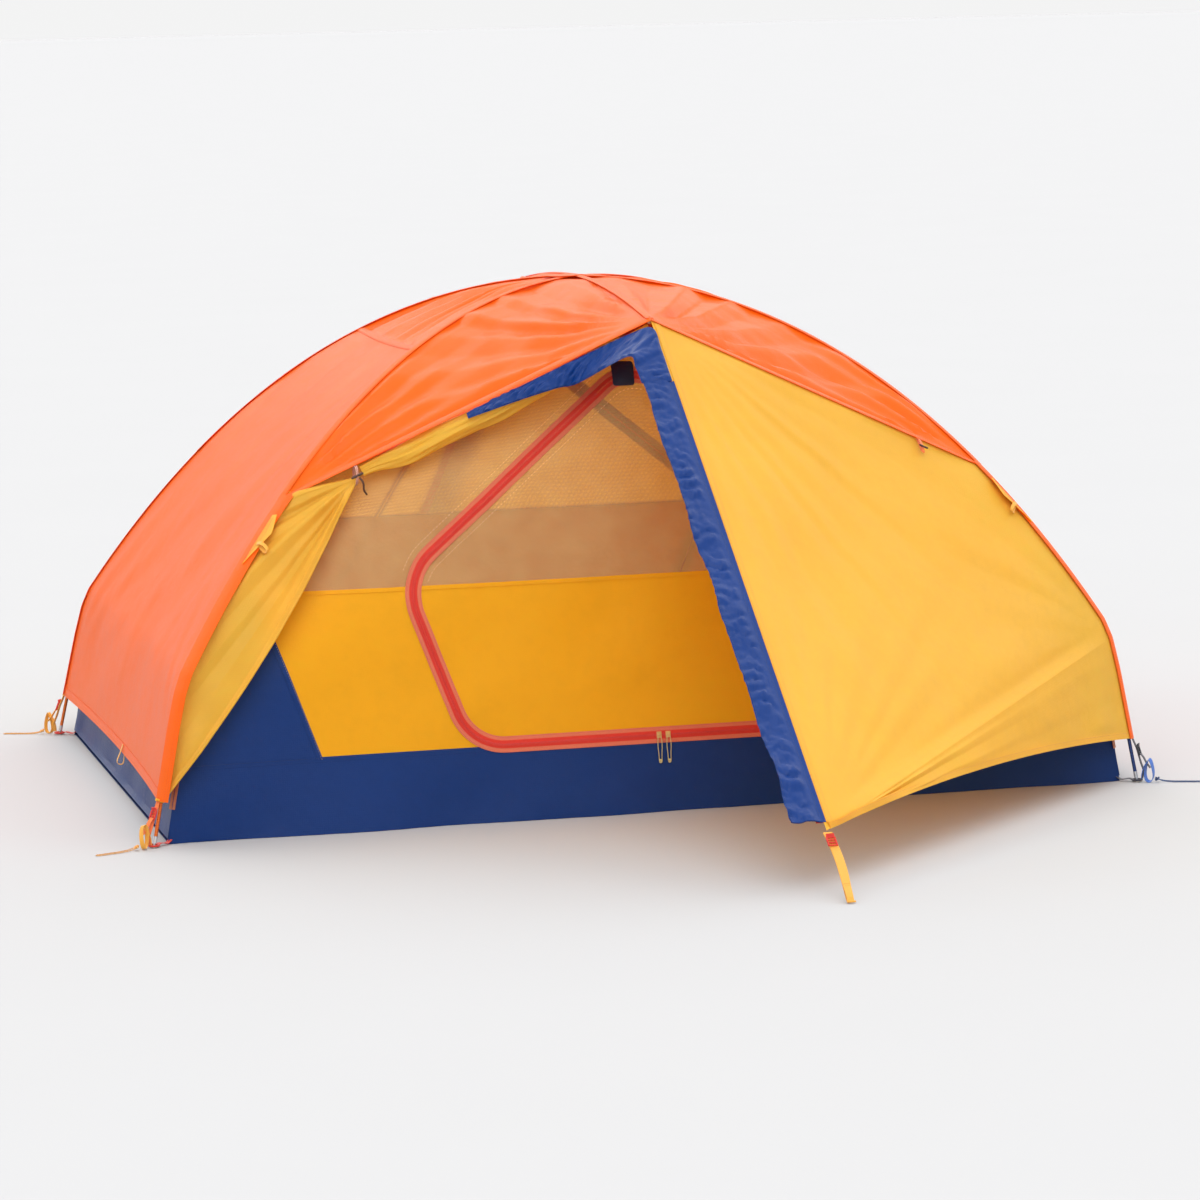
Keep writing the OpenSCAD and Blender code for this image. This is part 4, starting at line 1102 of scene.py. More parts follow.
def flap_head(f):
    """The fixed top of a storm flap: it turns from the zip into an arm under the brow seam."""
    end = END[f]
    d, out = flap_frame(f)
    n = half_normal(f, f)
    down = zip_dir(f)

    def under(t, w):
        if f < 0:
            return seam_at(f, f, t) + arr(0, -0.006 - 0.027 * float(smooth(w, 0, 0.022)), -0.004 - w)
        return seam_at(f, f, t) + down * w + n * 0.004

    lift = out * 0.0040
    outer = [zip_at(f, FLAP_START + 0.004) + lift, zip_at(f, 0.07) + lift,
             zip_at(f, 0.022) + lift + d * 0.004,
             under(0.06, 0.006), under(0.16, 0.004), under(0.30, 0.004), under(0.42, 0.004),
             under(0.50, 0.005)]
    inner_side = [zip_at(f, FLAP_START + 0.004) + d * FLAP_W + lift,
                  zip_at(f, 0.100) + d * (FLAP_W + 0.002) + lift,
                  zip_at(f, 0.078) + d * (FLAP_W + 0.014) + lift, under(0.205, 0.058), under(0.26, 0.046),
                  under(0.34, 0.034), under(0.43, 0.023), under(0.50, 0.016)]
    m = 120
    g = ruled(spline(outer, m), spline(inner_side, m), 24)
    u = np.stack(np.broadcast_arrays(steps(0, 0.75, m)[:, None], steps(0, 0.06, 24)[None]), -1)
    h = np.abs(waves(u, 0.075, 350 + f, 7)) * 0.0040 + np.abs(waves(u, 0.03, 351 + f, 7)) * 0.0014
    normal = outward(g, (0, f * 0.5, 0.5))
    g = g + normal * (h * edge_fade(m, 24, u0=0.02, u1=0.02, v0=0.08, v1=0.02))[..., None]
    o = fly_piece(f"storm_flap_{end}_head", g, "flap_blue", "flap", ["storm_flap_heads"] if f < 0 else [])
    declare_grid(o, g)
    rows = [stitch_part(g[:, k] + normal[:, k] * 0.0010, normal[:, k], FINE_PITCH) for k in (1, -2)]
    sew(f"storm_flap_{end}_head_stitching", rows, "stitch_navy", "root", "flap_blue")


# ---------- fly: seams, pipings and hems ----------
def seam_strip(name, path, across, normal, width, rows, look, thread_look, slot_name, crown=0.0012):
    """A raised seam with rows of stitches at the given distances from its middle."""
    parts = [band_part(path, across, normal, width, BAND_T, SEAM_LIFT, crown, 6)]
    sew(name, parts, look, "root", slot_name)
    across = unit(np.broadcast_to(across, path.shape))
    normal = unit(np.broadcast_to(normal, path.shape))
    top = SEAM_LIFT + crown + 0.0004
    parts = [stitch_part(path + across * x + normal * top, normal, SEAM_PITCH) for x in rows]
    sew(name + "_stitching", parts, thread_look, "root", slot_name)


def crest_frame(side, s):
    """Directions across a pole, from the side panel to the vestibule, and out of the cloth."""
    p = crest(side, s)
    t = unit(np.gradient(p, axis=0))
    out = unit(crest(side, s, 0.05) - crest(side, s, 0.0))
    across = unit(np.cross(t, out))
    flip = np.sign(across[:, 1:2] * side[1])
    return p, across * np.where(flip == 0, 1, flip), out


def crest_seams():
    for corner, side in CORNERS.items():
        s = steps(0.02, SEAM_S, 120)
        p, across, out = crest_frame(side, s)
        seam_strip(f"crest_seam_{corner}", p, across, out, 0.018, (-0.0055, 0.0055), "orange",
                   "stitch_orange", "fly_orange")
        s = steps(SEAM_S - 0.01, HEM_S, 120)
        p, across, out = crest_frame(side, s)
        # The side panel's cloth laps over the pole and ends in a turned edge on the vestibule
        width = 0.040 if corner == "front_left" else 0.026
        p = p + across * (width / 2 - 0.007)
        seam_strip(f"leg_lap_{corner}", p, across, out, width, (width / 2 - 0.005, width / 2 - 0.012),
                   "orange", "stitch_orange", "fly_orange", crown=0.0022)


def brow_seams():
    for f, end in END.items():
        y = steps(0.02, 1.0, 80)
        ridge_line = mix(brow(f * BROW_Y * y), np.broadcast_to(tip(f), (80, 3)), y**8)
        seam_strip(f"brow_ridge_{end}", ridge_line, arr(1, 0, 0), arr(0, 0, 1), 0.020, (-0.006, 0.006),
                   "orange", "stitch_orange", "fly_orange")
        for sx, side in SIDE.items():
            t = steps(0.0, 1.0, 100)
            p = seam_at(f, sx, t)
            along = unit(p[-1] - p[0])
            n = unit(half_normal(f, sx) + arr(0, 0, 1))
            across = np.cross(along, n)
            seam_strip(f"brow_seam_{end}_{side}", p, across, n, 0.022, (-0.007, 0.007), "orange",
                       "stitch_orange",
                       "fly_orange")


PATCH_R = 0.045


def crown_patch():
    """A sewn round patch over the crown, where the six fly panels meet."""
    s = steps(0.0, 0.2, 200)
    line, ridge = crest((1, 1), s), brow(steps(0.0, 0.12, 100))
    away = np.hypot(line[:, 0], line[:, 1])
    slope = math.atan2(line[-1, 1], line[-1, 0])
    turn, r = np.meshgrid(steps(0, 2 * math.pi, 73), steps(0.0005, PATCH_R, 14))
    x, y = np.abs(r * np.cos(turn)), np.abs(r * np.sin(turn))
    over_side = np.interp(x / math.cos(slope), away, line[:, 2])
    share = np.clip(x / np.maximum(y / math.tan(slope), 1e-6), 0, 1)
    at_ridge = np.interp(y, ridge[:, 1], ridge[:, 2])
    at_line = np.interp(y / math.sin(slope), away, line[:, 2])
    over_brow = at_ridge * (1 - share) + at_line * share
    z = np.where(y < x * math.tan(slope), over_side, over_brow)
    z = np.minimum(z, line[4, 2] + 0.002) + 0.0034
    g = np.stack([r * np.cos(turn), r * np.sin(turn), z], -1)
    fly_piece("crown_patch", g, "fly_orange", "orange", thick=0.0012)
    rim = g[-2]
    rows = [stitch_part(rim + arr(0, 0, 0.0010), np.broadcast_to(arr(0, 0, 1.0), rim.shape), FINE_PITCH)]
    sew("crown_patch_stitching", rows, "stitch_orange", "root", "fly_orange")


def side_seams():
    for sx, side in SIDE.items():
        g = side_grid(sx, ROOF_S - 0.02, ROOF_S + 0.02, 3, 120)
        n = outward(g)[1]
        across = unit(g[2] - g[0])
        seam_strip(f"roof_seam_{side}", g[1], across, n, 0.018, (-0.0055, 0.0055), "orange",
                   "stitch_orange", "fly_orange")
        g = side_grid(sx, HEM_S - 0.03, HEM_S, 4, 120)
        n = outward(g)[-1]
        up = unit(g[0] - g[-1])
        hem = [band_part(g[-1] + up * 0.011, up, n, 0.022, BAND_T, lift=k * 0.0013) for k in (1, -1)]
        sew(f"end_hem_{side}", hem, "orange", "root", "fly_orange")
        rows = [stitch_part(g[-1] + up * x + n * 0.0020, n, SEAM_PITCH) for x in (0.005, 0.018)]
        sew(f"end_hem_{side}_stitching", rows, "stitch_orange", "root", "fly_orange")
        # A webbing loop hangs from the middle of the end hem
        mid = g[-1, 52 if sx < 0 else 68]
        out = n[60]
        loop = spline([mid + up[60] * 0.020 + out * 0.003, mid + out * 0.006,
                       mid - up[60] * 0.024 + out * 0.010,
                       mid - up[60] * 0.030 + out * 0.001, mid - up[60] * 0.022 - out * 0.006,
                       mid + up[60] * 0.012 - out * 0.003], 40)
        parts = [loop_band(loop, arr(0, 1, 0), 0.010, 0.0011)]
        sew(f"end_hem_{side}_loop", parts, "web_yellow", "root", "webbing")


# ---------- fly: zips and sliders ----------
COIL_PITCH = 0.0024     # between teeth of a coil zip


def coil_part(path, normal, width=0.0030):
    """The teeth of a coil zip: short bars across the line."""
    total = route_length(path)
    p = even(path, int(total / COIL_PITCH))
    n = even(np.broadcast_to(unit(np.asarray(normal, float)), np.shape(path)), len(p))
    t = unit(np.gradient(p, axis=0))
    side = unit(np.cross(t, n))
    wobble = np.where(np.arange(len(p)) % 2, 1, -1)[:, None] * 0.0006
    size = arr(COIL_PITCH * 0.62, width, 0.0014) / 2
    corners = np.array([[x, y, z] for x in (-1, 1) for y in (-1, 1) for z in (0, 1)], float)
    verts = (p + side * wobble)[:, None] + corners[None, :, :1] * size[0] * t[:, None]
    verts = verts + corners[None, :, 1:2] * size[1] * side[:, None]
    verts = verts + corners[None, :, 2:] * size[2] * 2 * n[:, None]
    quads = np.array([[0, 1, 3, 2], [4, 6, 7, 5], [0, 4, 5, 1], [2, 3, 7, 6], [0, 2, 6, 4], [1, 5, 7, 3]])
    faces = (np.arange(len(p))[:, None, None] * 8 + quads[None]).reshape(-1, 4)
    verts = verts.reshape(-1, 3)
    return verts, list(faces), verts[:, :2]


def slider_parts(origin, axes, across, thick):
    """A zip slider: two plates with a waist, a nose between them, a bridge and its eye."""
    x, y, z = axes
    at = lambda a, b, c: origin + x * a + y * b + z * c
    w, parts = across / 2 + 0.0016, []
    for level, rise in ((thick / 2 + 0.0011, 1), (-thick / 2 - 0.0011, -1)):
        parts.append(box_part(at(0, 0, level), axes, (0.0118, 2 * w, 0.0011), 0.3))
        for sy in (-1, 1):
            parts.append(box_part(at(-0.001, sy * (w - 0.0005), level - rise * 0.0008), axes,
                                  (0.0088, 0.0010, 0.0018), 0.3))
    parts.append(box_part(at(0.0040, 0, 0), axes, (0.0026, 0.0022, thick + 0.0022), 0.25))
    bridge = [at(-0.0042, 0, thick / 2 + 0.0014), at(-0.0036, 0, thick / 2 + 0.0042),
              at(0, 0, thick / 2 + 0.0058),
              at(0.0036, 0, thick / 2 + 0.0042), at(0.0042, 0, thick / 2 + 0.0014)]
    parts.append(tube_part(spline(bridge, 24), 0.0009, 10))
    ring = [at(0.0, 0.0026 * math.cos(a), thick / 2 + 0.0058 + 0.0026 * math.sin(a))
            for a in steps(0, 2 * math.pi, 28)[:-1]]
    parts.append(tube_part(np.array(ring), 0.0006, 8, closed=True))
    return parts


def fly_zip(f):
    end = END[f]
    d, out = flap_frame(f)
    t = steps(0.04, 0.98, 120)
    path = zip_at(f, t) - out * 0.0110
    tape = [band_part(path, d, out, 0.026, TAPE_T, lift=-0.0012)]
    nodes = ["fly_zips"] if f < 0 else []
    sew(f"fly_zip_{end}_tape", tape, "tape_red", "root", "red_zip", *nodes)
    sew(f"fly_zip_{end}_coil", [coil_part(path, out, 0.0046)], "coil", "root", "red_zip")
    axes = (zip_dir(f), unit(np.cross(out, zip_dir(f))), out)
    at = zip_at(f, 0.07) - out * 0.0110
    parts = slider_parts(at, axes, 0.008, 0.002)
    sew(f"fly_slider_{end}_body", parts, "slider", f"fly_zip_{end}", "slider_metal", f"fly_slider_{end}")


# ---------- fly: ties, toggles and guy tabs ----------
def toggle_part(a, b, radius):
    t = steps(0, 1, 41)
    shape = radius * (0.80 + 0.22 * np.sin(math.pi * t) - 0.42 * np.exp(-((t - 0.5) / 0.07)**2))
    shape = shape * np.sqrt(np.clip(1 - np.abs(2 * t - 1)**14, 0.02, 1))
    return tube_part(mix(a, b, t), shape, 24)


def tie_back(f, sx):
    name = f"{END[f]}_{SIDE[sx]}"
    p = seam_at(f, sx, TIE_T)
    along = unit(crest((sx, f), SEAM_S) - tip(f))
    open_half = f < 0 and sx < 0
    n = arr(0, -1, 0) if open_half else half_normal(f, sx)
    down = arr(0, 0, -1.0) if open_half else zip_dir(f)
    first = (f, sx) == (-1, -1)
    if open_half:
        # The loop wraps the roll and holds the toggle in front of it
        ring = [p + arr(0, -0.002, -0.004), p + arr(0, -0.024, -0.010), p + arr(0, -0.030, -0.028),
                p + arr(0, -0.022, -0.044),
                p + arr(0, 0.000, -0.050), p + arr(0, 0.014, -0.036), p + arr(0, 0.012, -0.014),
                p + arr(0, 0.002, -0.005)]
        path = spline(ring, 60)
        parts = [tube_part(path + along * k, 0.0014, 10) for k in (-0.0018, 0.0018)]
        sew(f"tieback_loop_{name}", parts, "elastic", "root", "toggle", "tieback_loops")
        centre = p + arr(0, -0.031, -0.026)
        tail = spline([centre + arr(0.004, -0.004, -0.004), centre + arr(0.012, -0.008, -0.016),
                       centre + arr(0.014, -0.004, -0.034), centre + arr(0.022, 0.002, -0.046)], 30)
        bar = [toggle_part(centre - along * 0.016, centre + along * 0.016, 0.0034),
               tube_part(tail, 0.0024, 12)]
    else:
        path = spline([p + down * 0.010 + n * 0.003, p + down * 0.020 + n * 0.008,
                       p + down * 0.040 + n * 0.010,
                       p + down * 0.058 + n * 0.006, p + down * 0.052 + n * 0.0035,
                       p + down * 0.030 + n * 0.0035,
                       p + down * 0.012 + n * 0.0025], 60)
        parts = [loop_band(path, along, 0.007, 0.0012)]
        sew(f"tieback_loop_{name}", parts, "web_orange", "root", "toggle")
        centre = p + down * 0.046 + n * 0.013
        bar = [toggle_part(centre - along * 0.013, centre + along * 0.013, 0.0026)]
    sew(f"tieback_toggle_{name}", bar, "toggle", "root", "toggle",
        *(["tieback_toggles"] if first else []))


def guy_tab(f, sx):
    name = f"{END[f]}_{SIDE[sx]}"
    s = steps(SEAM_S + 0.035, SEAM_S + 0.135, 24)
    p, across, out = crest_frame((sx, f), s)
    reach = 0.034 * (1 - np.abs(steps(-0.75, 1.25, 24)) / 1.25) + 0.004
    g = ruled(p + across * 0.010 + out * 0.003, p + across * (0.010 + reach[:, None]) + out * 0.007, 8)
    parts = [shell(oriented(g), 0.0014)]
    sew(f"guyout_tab_{name}", parts, "amber", "root", "fly_amber",
        *(["guyout_tabs"] if (f, sx) == (-1, -1) else []))
    mid = g[14, -1]
    loop = spline([mid - across[14] * 0.012 + out[14] * 0.002, mid + across[14] * 0.004 + out[14] * 0.004,
                   mid + across[14] * 0.017 - arr(0, 0, 0.006),
                   mid + across[14] * 0.020 - arr(0, 0, 0.014),
                   mid + across[14] * 0.010 - arr(0, 0, 0.016),
                   mid - across[14] * 0.010 - out[14] * 0.001], 36)
    wide = unit(p[15] - p[13])
    parts = [loop_band(loop, wide, 0.009, 0.0012)]
    sew(f"guyout_loop_{name}", parts, "web_yellow", "root", "webbing")
    rows = [stitch_part(g[2:-2, 1] + out[2:-2] * 0.0012, out[2:-2], 0.004),
            stitch_part(g[2:-2, 3] + out[2:-2] * 0.0012, out[2:-2], 0.004)]
    sew(f"guyout_tab_{name}_stitching", rows, "stitch_orange", "root", "fly_amber")


for sx in (-1, 1):
    roof_panel(sx)
    end_panel(sx)
    for f in (-1, 1):
        brow_panel(f, sx)
        tie_back(f, sx)
        guy_tab(f, sx)
        if (f, sx) != (-1, -1):
            closed_half(f, sx)
gathered_roll()
gathered_fan()
for f, sx in ((-1, 1), (1, 1), (1, -1)):
    zip_facing(f, sx)
for f in (-1, 1):
    storm_flap(f)
    flap_head(f)
    fly_zip(f)
crest_seams()
brow_seams()
side_seams()
crown_patch()


# ---------- inner tent: walls ----------
S_TABLE = steps(0, FOOT_S, 2000)
Z_TABLE = skin((1, 1), S_TABLE, 0.0)[:, 2]


def s_of(z):
    return np.interp(z, Z_TABLE[::-1], S_TABLE[::-1])


def plane_y(z):
    return WALL_Y - WALL_LEAN * np.asarray(z, float)


def wall_pt(f, u, z):
    """Long walls: flat in the middle, bent round to the poles; u is along +X in front, -X behind."""
    u, z = np.broadcast_arrays(np.asarray(u, float), np.asarray(z, float))
    x, mid = -f * u, LEAN * z / CROWN_H
    left, right = inner((-1, f), s_of(z)), inner((1, f), s_of(z))
    e = np.where((x < mid)[..., None], left, right)
    t = np.clip((x - mid) / (e[..., 0] - mid), 0, 1)
    power = 6 - 5 * np.clip((z - TUB_H) / (WALL_TOP - TUB_H), 0, 1)
    flat_y = plane_y(z)
    return np.stack([x, f * (flat_y + (np.abs(e[..., 1]) - flat_y) * t**power), z], -1)


def edge_u(f, su, z):
    return -f * inner((-f * su, f), s_of(z))[..., 0]


def gusset_u(f, su, z):
    z = np.asarray(z, float)
    return su * (0.800 + (z - TUB_H) * 0.38) - f * LEAN * z / CROWN_H


DOOR_CORNERS = arr([0.560, DOOR_LOW], [-0.435, DOOR_LOW], [-0.572, 0.573], [0.040, 1.076])
DOOR_RADII = (0.040, 0.120, 0.130, 0.100)
DOOR_HINGE_FOOT = 0.52      # along the wall, near where the zip begins


def rounded(pts, radii, n=14):
    out = []
    for i, p in enumerate(pts):
        a, b = unit(pts[i - 1] - p), unit(pts[(i + 1) % len(pts)] - p)
        half = math.acos(float(a @ b)) / 2
        c = p + unit(a + b) * radii[i] / math.sin(half)
        u, v = p + a * radii[i] / math.tan(half) - c, p + b * radii[i] / math.tan(half) - c
        turn = math.pi - 2 * half
        w = 1 if u[0] * v[1] - u[1] * v[0] > 0 else -1
        for k in steps(0, turn, n):
            out.append(c + arr(u[0] * math.cos(k) - w * u[1] * math.sin(k),
                               w * u[0] * math.sin(k) + u[1] * math.cos(k)))
    return np.array(out)


def dense(loop, pitch):
    """A closed outline with more points along its straight stretches."""
    out = []
    for a, b in zip(loop, np.roll(loop, -1, 0)):
        k = max(1, int(round(np.linalg.norm(b - a) / pitch)))
        out.extend(mix(a, b, steps(0, 1, k + 1)[:-1]))
    return np.array(out)


def offset(loop, d):
    """The outline moved outward by d."""
    t = unit(np.roll(loop, -1, 0) - np.roll(loop, 1, 0))
    turn = np.sign(np.sum(loop[:, 0] * np.roll(loop[:, 1], -1) - np.roll(loop[:, 0], -1) * loop[:, 1]))
    return loop + turn * d * np.stack([t[:, 1], -t[:, 0]], 1)


DOOR = dense(rounded(DOOR_CORNERS, DOOR_RADII), 0.02)


def inside(loop, p):
    a, b = loop, np.roll(loop, -1, 0)
    x, y = p[:, 0:1], p[:, 1:2]
    cross_it = (a[None, :, 1] > y) != (b[None, :, 1] > y)
    rise = np.where(cross_it, b[None, :, 1] - a[None, :, 1], 1)
    at = a[None, :, 0] + (y - a[None, :, 1]) * (b[None, :, 0] - a[None, :, 0]) / rise
    return (np.sum(cross_it & (x < at), axis=1) % 2) == 1


def clip_above(loop, z, keep_above=True):
    """The part of a closed outline on one side of a level."""
    sign = 1 if keep_above else -1
    out = []
    for a, b in zip(loop, np.roll(loop, -1, 0)):
        ha, hb = sign * (a[1] - z), sign * (b[1] - z)
        if ha >= 0:
            out.append(a)
        if ha * hb < 0:
            out.append(mix(a, b, ha / (ha - hb)))
    return np.array(out)


def filled(outline, pitch):
    """Points and triangles that fill an outline in the plane."""
    rim = dense(outline, pitch)
    lo, hi = rim.min(0), rim.max(0)
    gx, gy = np.meshgrid(np.arange(lo[0] + pitch / 2, hi[0], pitch),
                         np.arange(lo[1] + pitch / 2, hi[1], pitch))
    p = np.stack([gx.ravel(), gy.ravel()], 1)
    p = p[inside(rim, p)]
    near = np.min(np.linalg.norm(p[:, None] - rim[None], axis=2), axis=1)
    p = p[near > 0.45 * pitch]
    edges = [(i, (i + 1) % len(rim)) for i in range(len(rim))]
    points = np.concatenate([rim, p])
    verts, _, faces, *_ = delaunay_2d_cdt([Vector(q) for q in points], edges, [], 0, 1e-7)
    verts = np.array([tuple(v) for v in verts])
    faces = np.array([f for f in faces if len(f) == 3])
    return verts, faces[inside(rim, verts[faces].mean(1))]


def plate_part(flat, tris, shape, thick):
    """A thin closed sheet: the flat triangles bent by shape(u, z)."""
    p = shape(flat[:, 0], flat[:, 1])
    fn = np.cross(p[tris[:, 1]] - p[tris[:, 0]], p[tris[:, 2]] - p[tris[:, 0]])
    n = np.zeros_like(p)
    for k in range(3):
        np.add.at(n, tris[:, k], fn)
    n = unit(n)
    k = len(p)
    edges = {}
    for t in tris:
        for a, b in ((t[0], t[1]), (t[1], t[2]), (t[2], t[0])):
            edges[(a, b)] = True
    rim = [(a, b) for a, b in edges if (b, a) not in edges]
    faces = [tuple(t) for t in tris] + [(t[2] + k, t[1] + k, t[0] + k) for t in tris]
    faces += [(b, a, a + k, b + k) for a, b in rim]
    return np.concatenate([p + n * thick / 2, p - n * thick / 2]), faces, np.concatenate([flat, flat])


HINGE_FOOT = DOOR_CORNERS[0]
HINGE_RUN = unit(DOOR_CORNERS[3] - DOOR_CORNERS[0])


def wall_surface(f, u, z):
    """The long wall with its soft ripples, the same for every cloth and trim on it."""
    p = wall_pt(f, u, z)
    q = np.stack(np.broadcast_arrays(np.asarray(u, float), np.asarray(z, float)), -1)
    h = waves(q, 0.35, 61 + f) * 0.0038 + waves(q, 0.09, 65 + f) * 0.0007
    # The cloth is taut along the door's foot and its hinge line, where the sliders run and the door turns
    from_foot = q - HINGE_FOOT
    from_hinge = np.abs(from_foot[..., 0] * HINGE_RUN[1] - from_foot[..., 1] * HINGE_RUN[0])
    h = h * (0.08 + 0.92 * smooth(np.minimum(from_hinge, np.abs(from_foot[..., 1])), 0.012, 0.16))
    return p + np.stack([np.zeros_like(h), f * h, np.zeros_like(h)], -1)


def wall_piece(name, flat_loop, f, look, slot_name, pitch, body="root", nodes=()):
    """A flat outline of cloth on a long wall, filled and bent."""
    flat, tris = filled(flat_loop, pitch)
    part = plate_part(flat, tris, lambda u, z: wall_surface(f, u, z), CLOTH_T)
    o = sew(name, [part], look, body, slot_name, *nodes)
    a, b = flat[tris[:, 1]] - flat[tris[:, 0]], flat[tris[:, 2]] - flat[tris[:, 0]]
    area = float(np.abs(a[:, 0] * b[:, 1] - a[:, 1] * b[:, 0]).sum() / 2) * 1.02
    w, h = (flat.max(0) - flat.min(0)) * 1.01
    share = min(0.999, max(0.302, area / (w * h)))
    area = round(share * float(w * h), 3) * 0.99
    return declared(o)


def side_of_wall(f, su, z0, z1, n=24):
    z = steps(z0, z1, n)
    return np.stack([edge_u(f, su, z), z], 1)


def wall_loops(f):
    """Flat outlines of one long wall's cloths: tub, gussets, solid wall and mesh."""
    low_l, low_r = side_of_wall(f, -1, FLOOR_GAP, TUB_H), side_of_wall(f, 1, FLOOR_GAP, TUB_H)
    tub = np.concatenate([low_l[::-1], low_r])
    z = steps(TUB_H, LOWER_H, 20)
    gussets = {}
    for su in (-1, 1):
        gussets[su] = np.concatenate([side_of_wall(f, su, TUB_H, LOWER_H, 20),
                                      np.stack([gusset_u(f, su, z), z], 1)[::-1]])
    solid = np.concatenate([np.stack([gusset_u(f, -1, z), z], 1)[::-1],
                            np.stack([gusset_u(f, 1, z), z], 1)])
    mesh = np.concatenate([side_of_wall(f, -1, LOWER_H, WALL_TOP, 40)[::-1],
                           side_of_wall(f, 1, LOWER_H, WALL_TOP, 40)])
    return tub, gussets, solid, mesh


def long_wall(f):
    end = END[f]
    tub, gussets, solid, mesh = wall_loops(f)
    first = f < 0
    wall_piece(f"tub_wall_{end}", tub, f, "navy", "tub_cloth", 0.022,
               nodes=["tub_walls"] if first else [])
    for su, loop in gussets.items():
        side = SIDE[-f * su]
        wall_piece(f"corner_gusset_{end}_{side}", loop, f, "navy", "tub_cloth", 0.022,
                   nodes=["corner_gussets"] if first and su < 0 else [])
    hole_low = clip_above(offset(DOOR, 0.002), LOWER_H, False)
    hole_high = clip_above(offset(DOOR, 0.002), LOWER_H, True)
    # The hole meets the seam at lower_h, so each wall cloth is cut along it
    wall_piece(f"lower_wall_{end}", notched(solid, hole_low, LOWER_H), f, "gold", "gold_cloth", 0.022,
               nodes=["inner_lower_walls"] if first else [])
    wall_piece(f"mesh_wall_{end}", notched(mesh, hole_high, LOWER_H), f, "mesh", "mesh", 0.022,
               nodes=["inner_mesh_walls"] if first else [])
    inner_line = offset(DOOR, -0.002)
    body = f"{end}_door"
    wall_piece(f"{end}_door_solid", clip_above(inner_line, LOWER_H, False), f, "gold", "gold_cloth", 0.02,
               body=body,
               nodes=[f"{end}_door_lower"])
    wall_piece(f"{end}_door_netting", clip_above(inner_line, LOWER_H, True), f, "mesh", "mesh", 0.02,
               body=body,
               nodes=[f"{end}_door_mesh"])


def notched(loop, hole, level):
    """The outline less a hole that reaches its edge at one level."""
    flat = [i for i, q in enumerate(hole) if abs(q[1] - level) < 1e-6]
    cut = np.roll(hole, -max(flat) if set(flat) != {0, len(hole) - 1} else 0, 0)
    if abs(cut[-1][1] - level) > 1e-6:
        cut = np.roll(cut, -1, 0)
    on_edge = [i for i, q in enumerate(loop) if abs(q[1] - level) < 1e-6]
    i, j = on_edge[0], on_edge[-1]
    if (i, j) == (0, len(loop) - 1) or j != i + 1:
        start, rest = loop[j], loop
    else:
        start, rest = loop[i], np.roll(loop, -j, 0)
    if np.linalg.norm(cut[0] - start) > np.linalg.norm(cut[-1] - start):
        cut = cut[::-1]
    return np.concatenate([rest, cut])


def wall_path(f, loop, shift=0.0):
    """A flat line taken to a long wall and moved sideways: points, out of the wall, across the line."""
    t = unit(np.gradient(loop, axis=0))
    side = np.stack([t[:, 1], -t[:, 0]], 1)
    p = wall_surface(f, loop[:, 0] + side[:, 0] * shift, loop[:, 1] + side[:, 1] * shift)
    q = wall_surface(f, loop[:, 0] + side[:, 0] * (shift + 0.01),
                     loop[:, 1] + side[:, 1] * (shift + 0.01))
    across = unit(q - p)
    along = unit(np.gradient(p, axis=0))
    n = np.cross(across, along)
    return p, n * np.sign(n[:, 1:2] * f), across


def wall_strip(f, loop, width, thick, lift, shift=0.0):
    """A band on a long wall along a flat line, with its width in the wall."""
    p, n, across = wall_path(f, loop, shift)
    return band_part(p, across, n, width, thick, lift, 0.0, 3)


def door_lines():
    """The door's outline in two: the zip, from the hinge side's foot round to its top, and the hinge."""
    foot_at = int(np.argmin(np.linalg.norm(DOOR - arr(DOOR_HINGE_FOOT, DOOR_LOW), axis=1)))
    line = np.roll(DOOR, -foot_at, 0)
    top_at = int(np.argmax(line[:, 1]))
    return even(line[:top_at + 3], 420), even(line[top_at + 1:], 160)


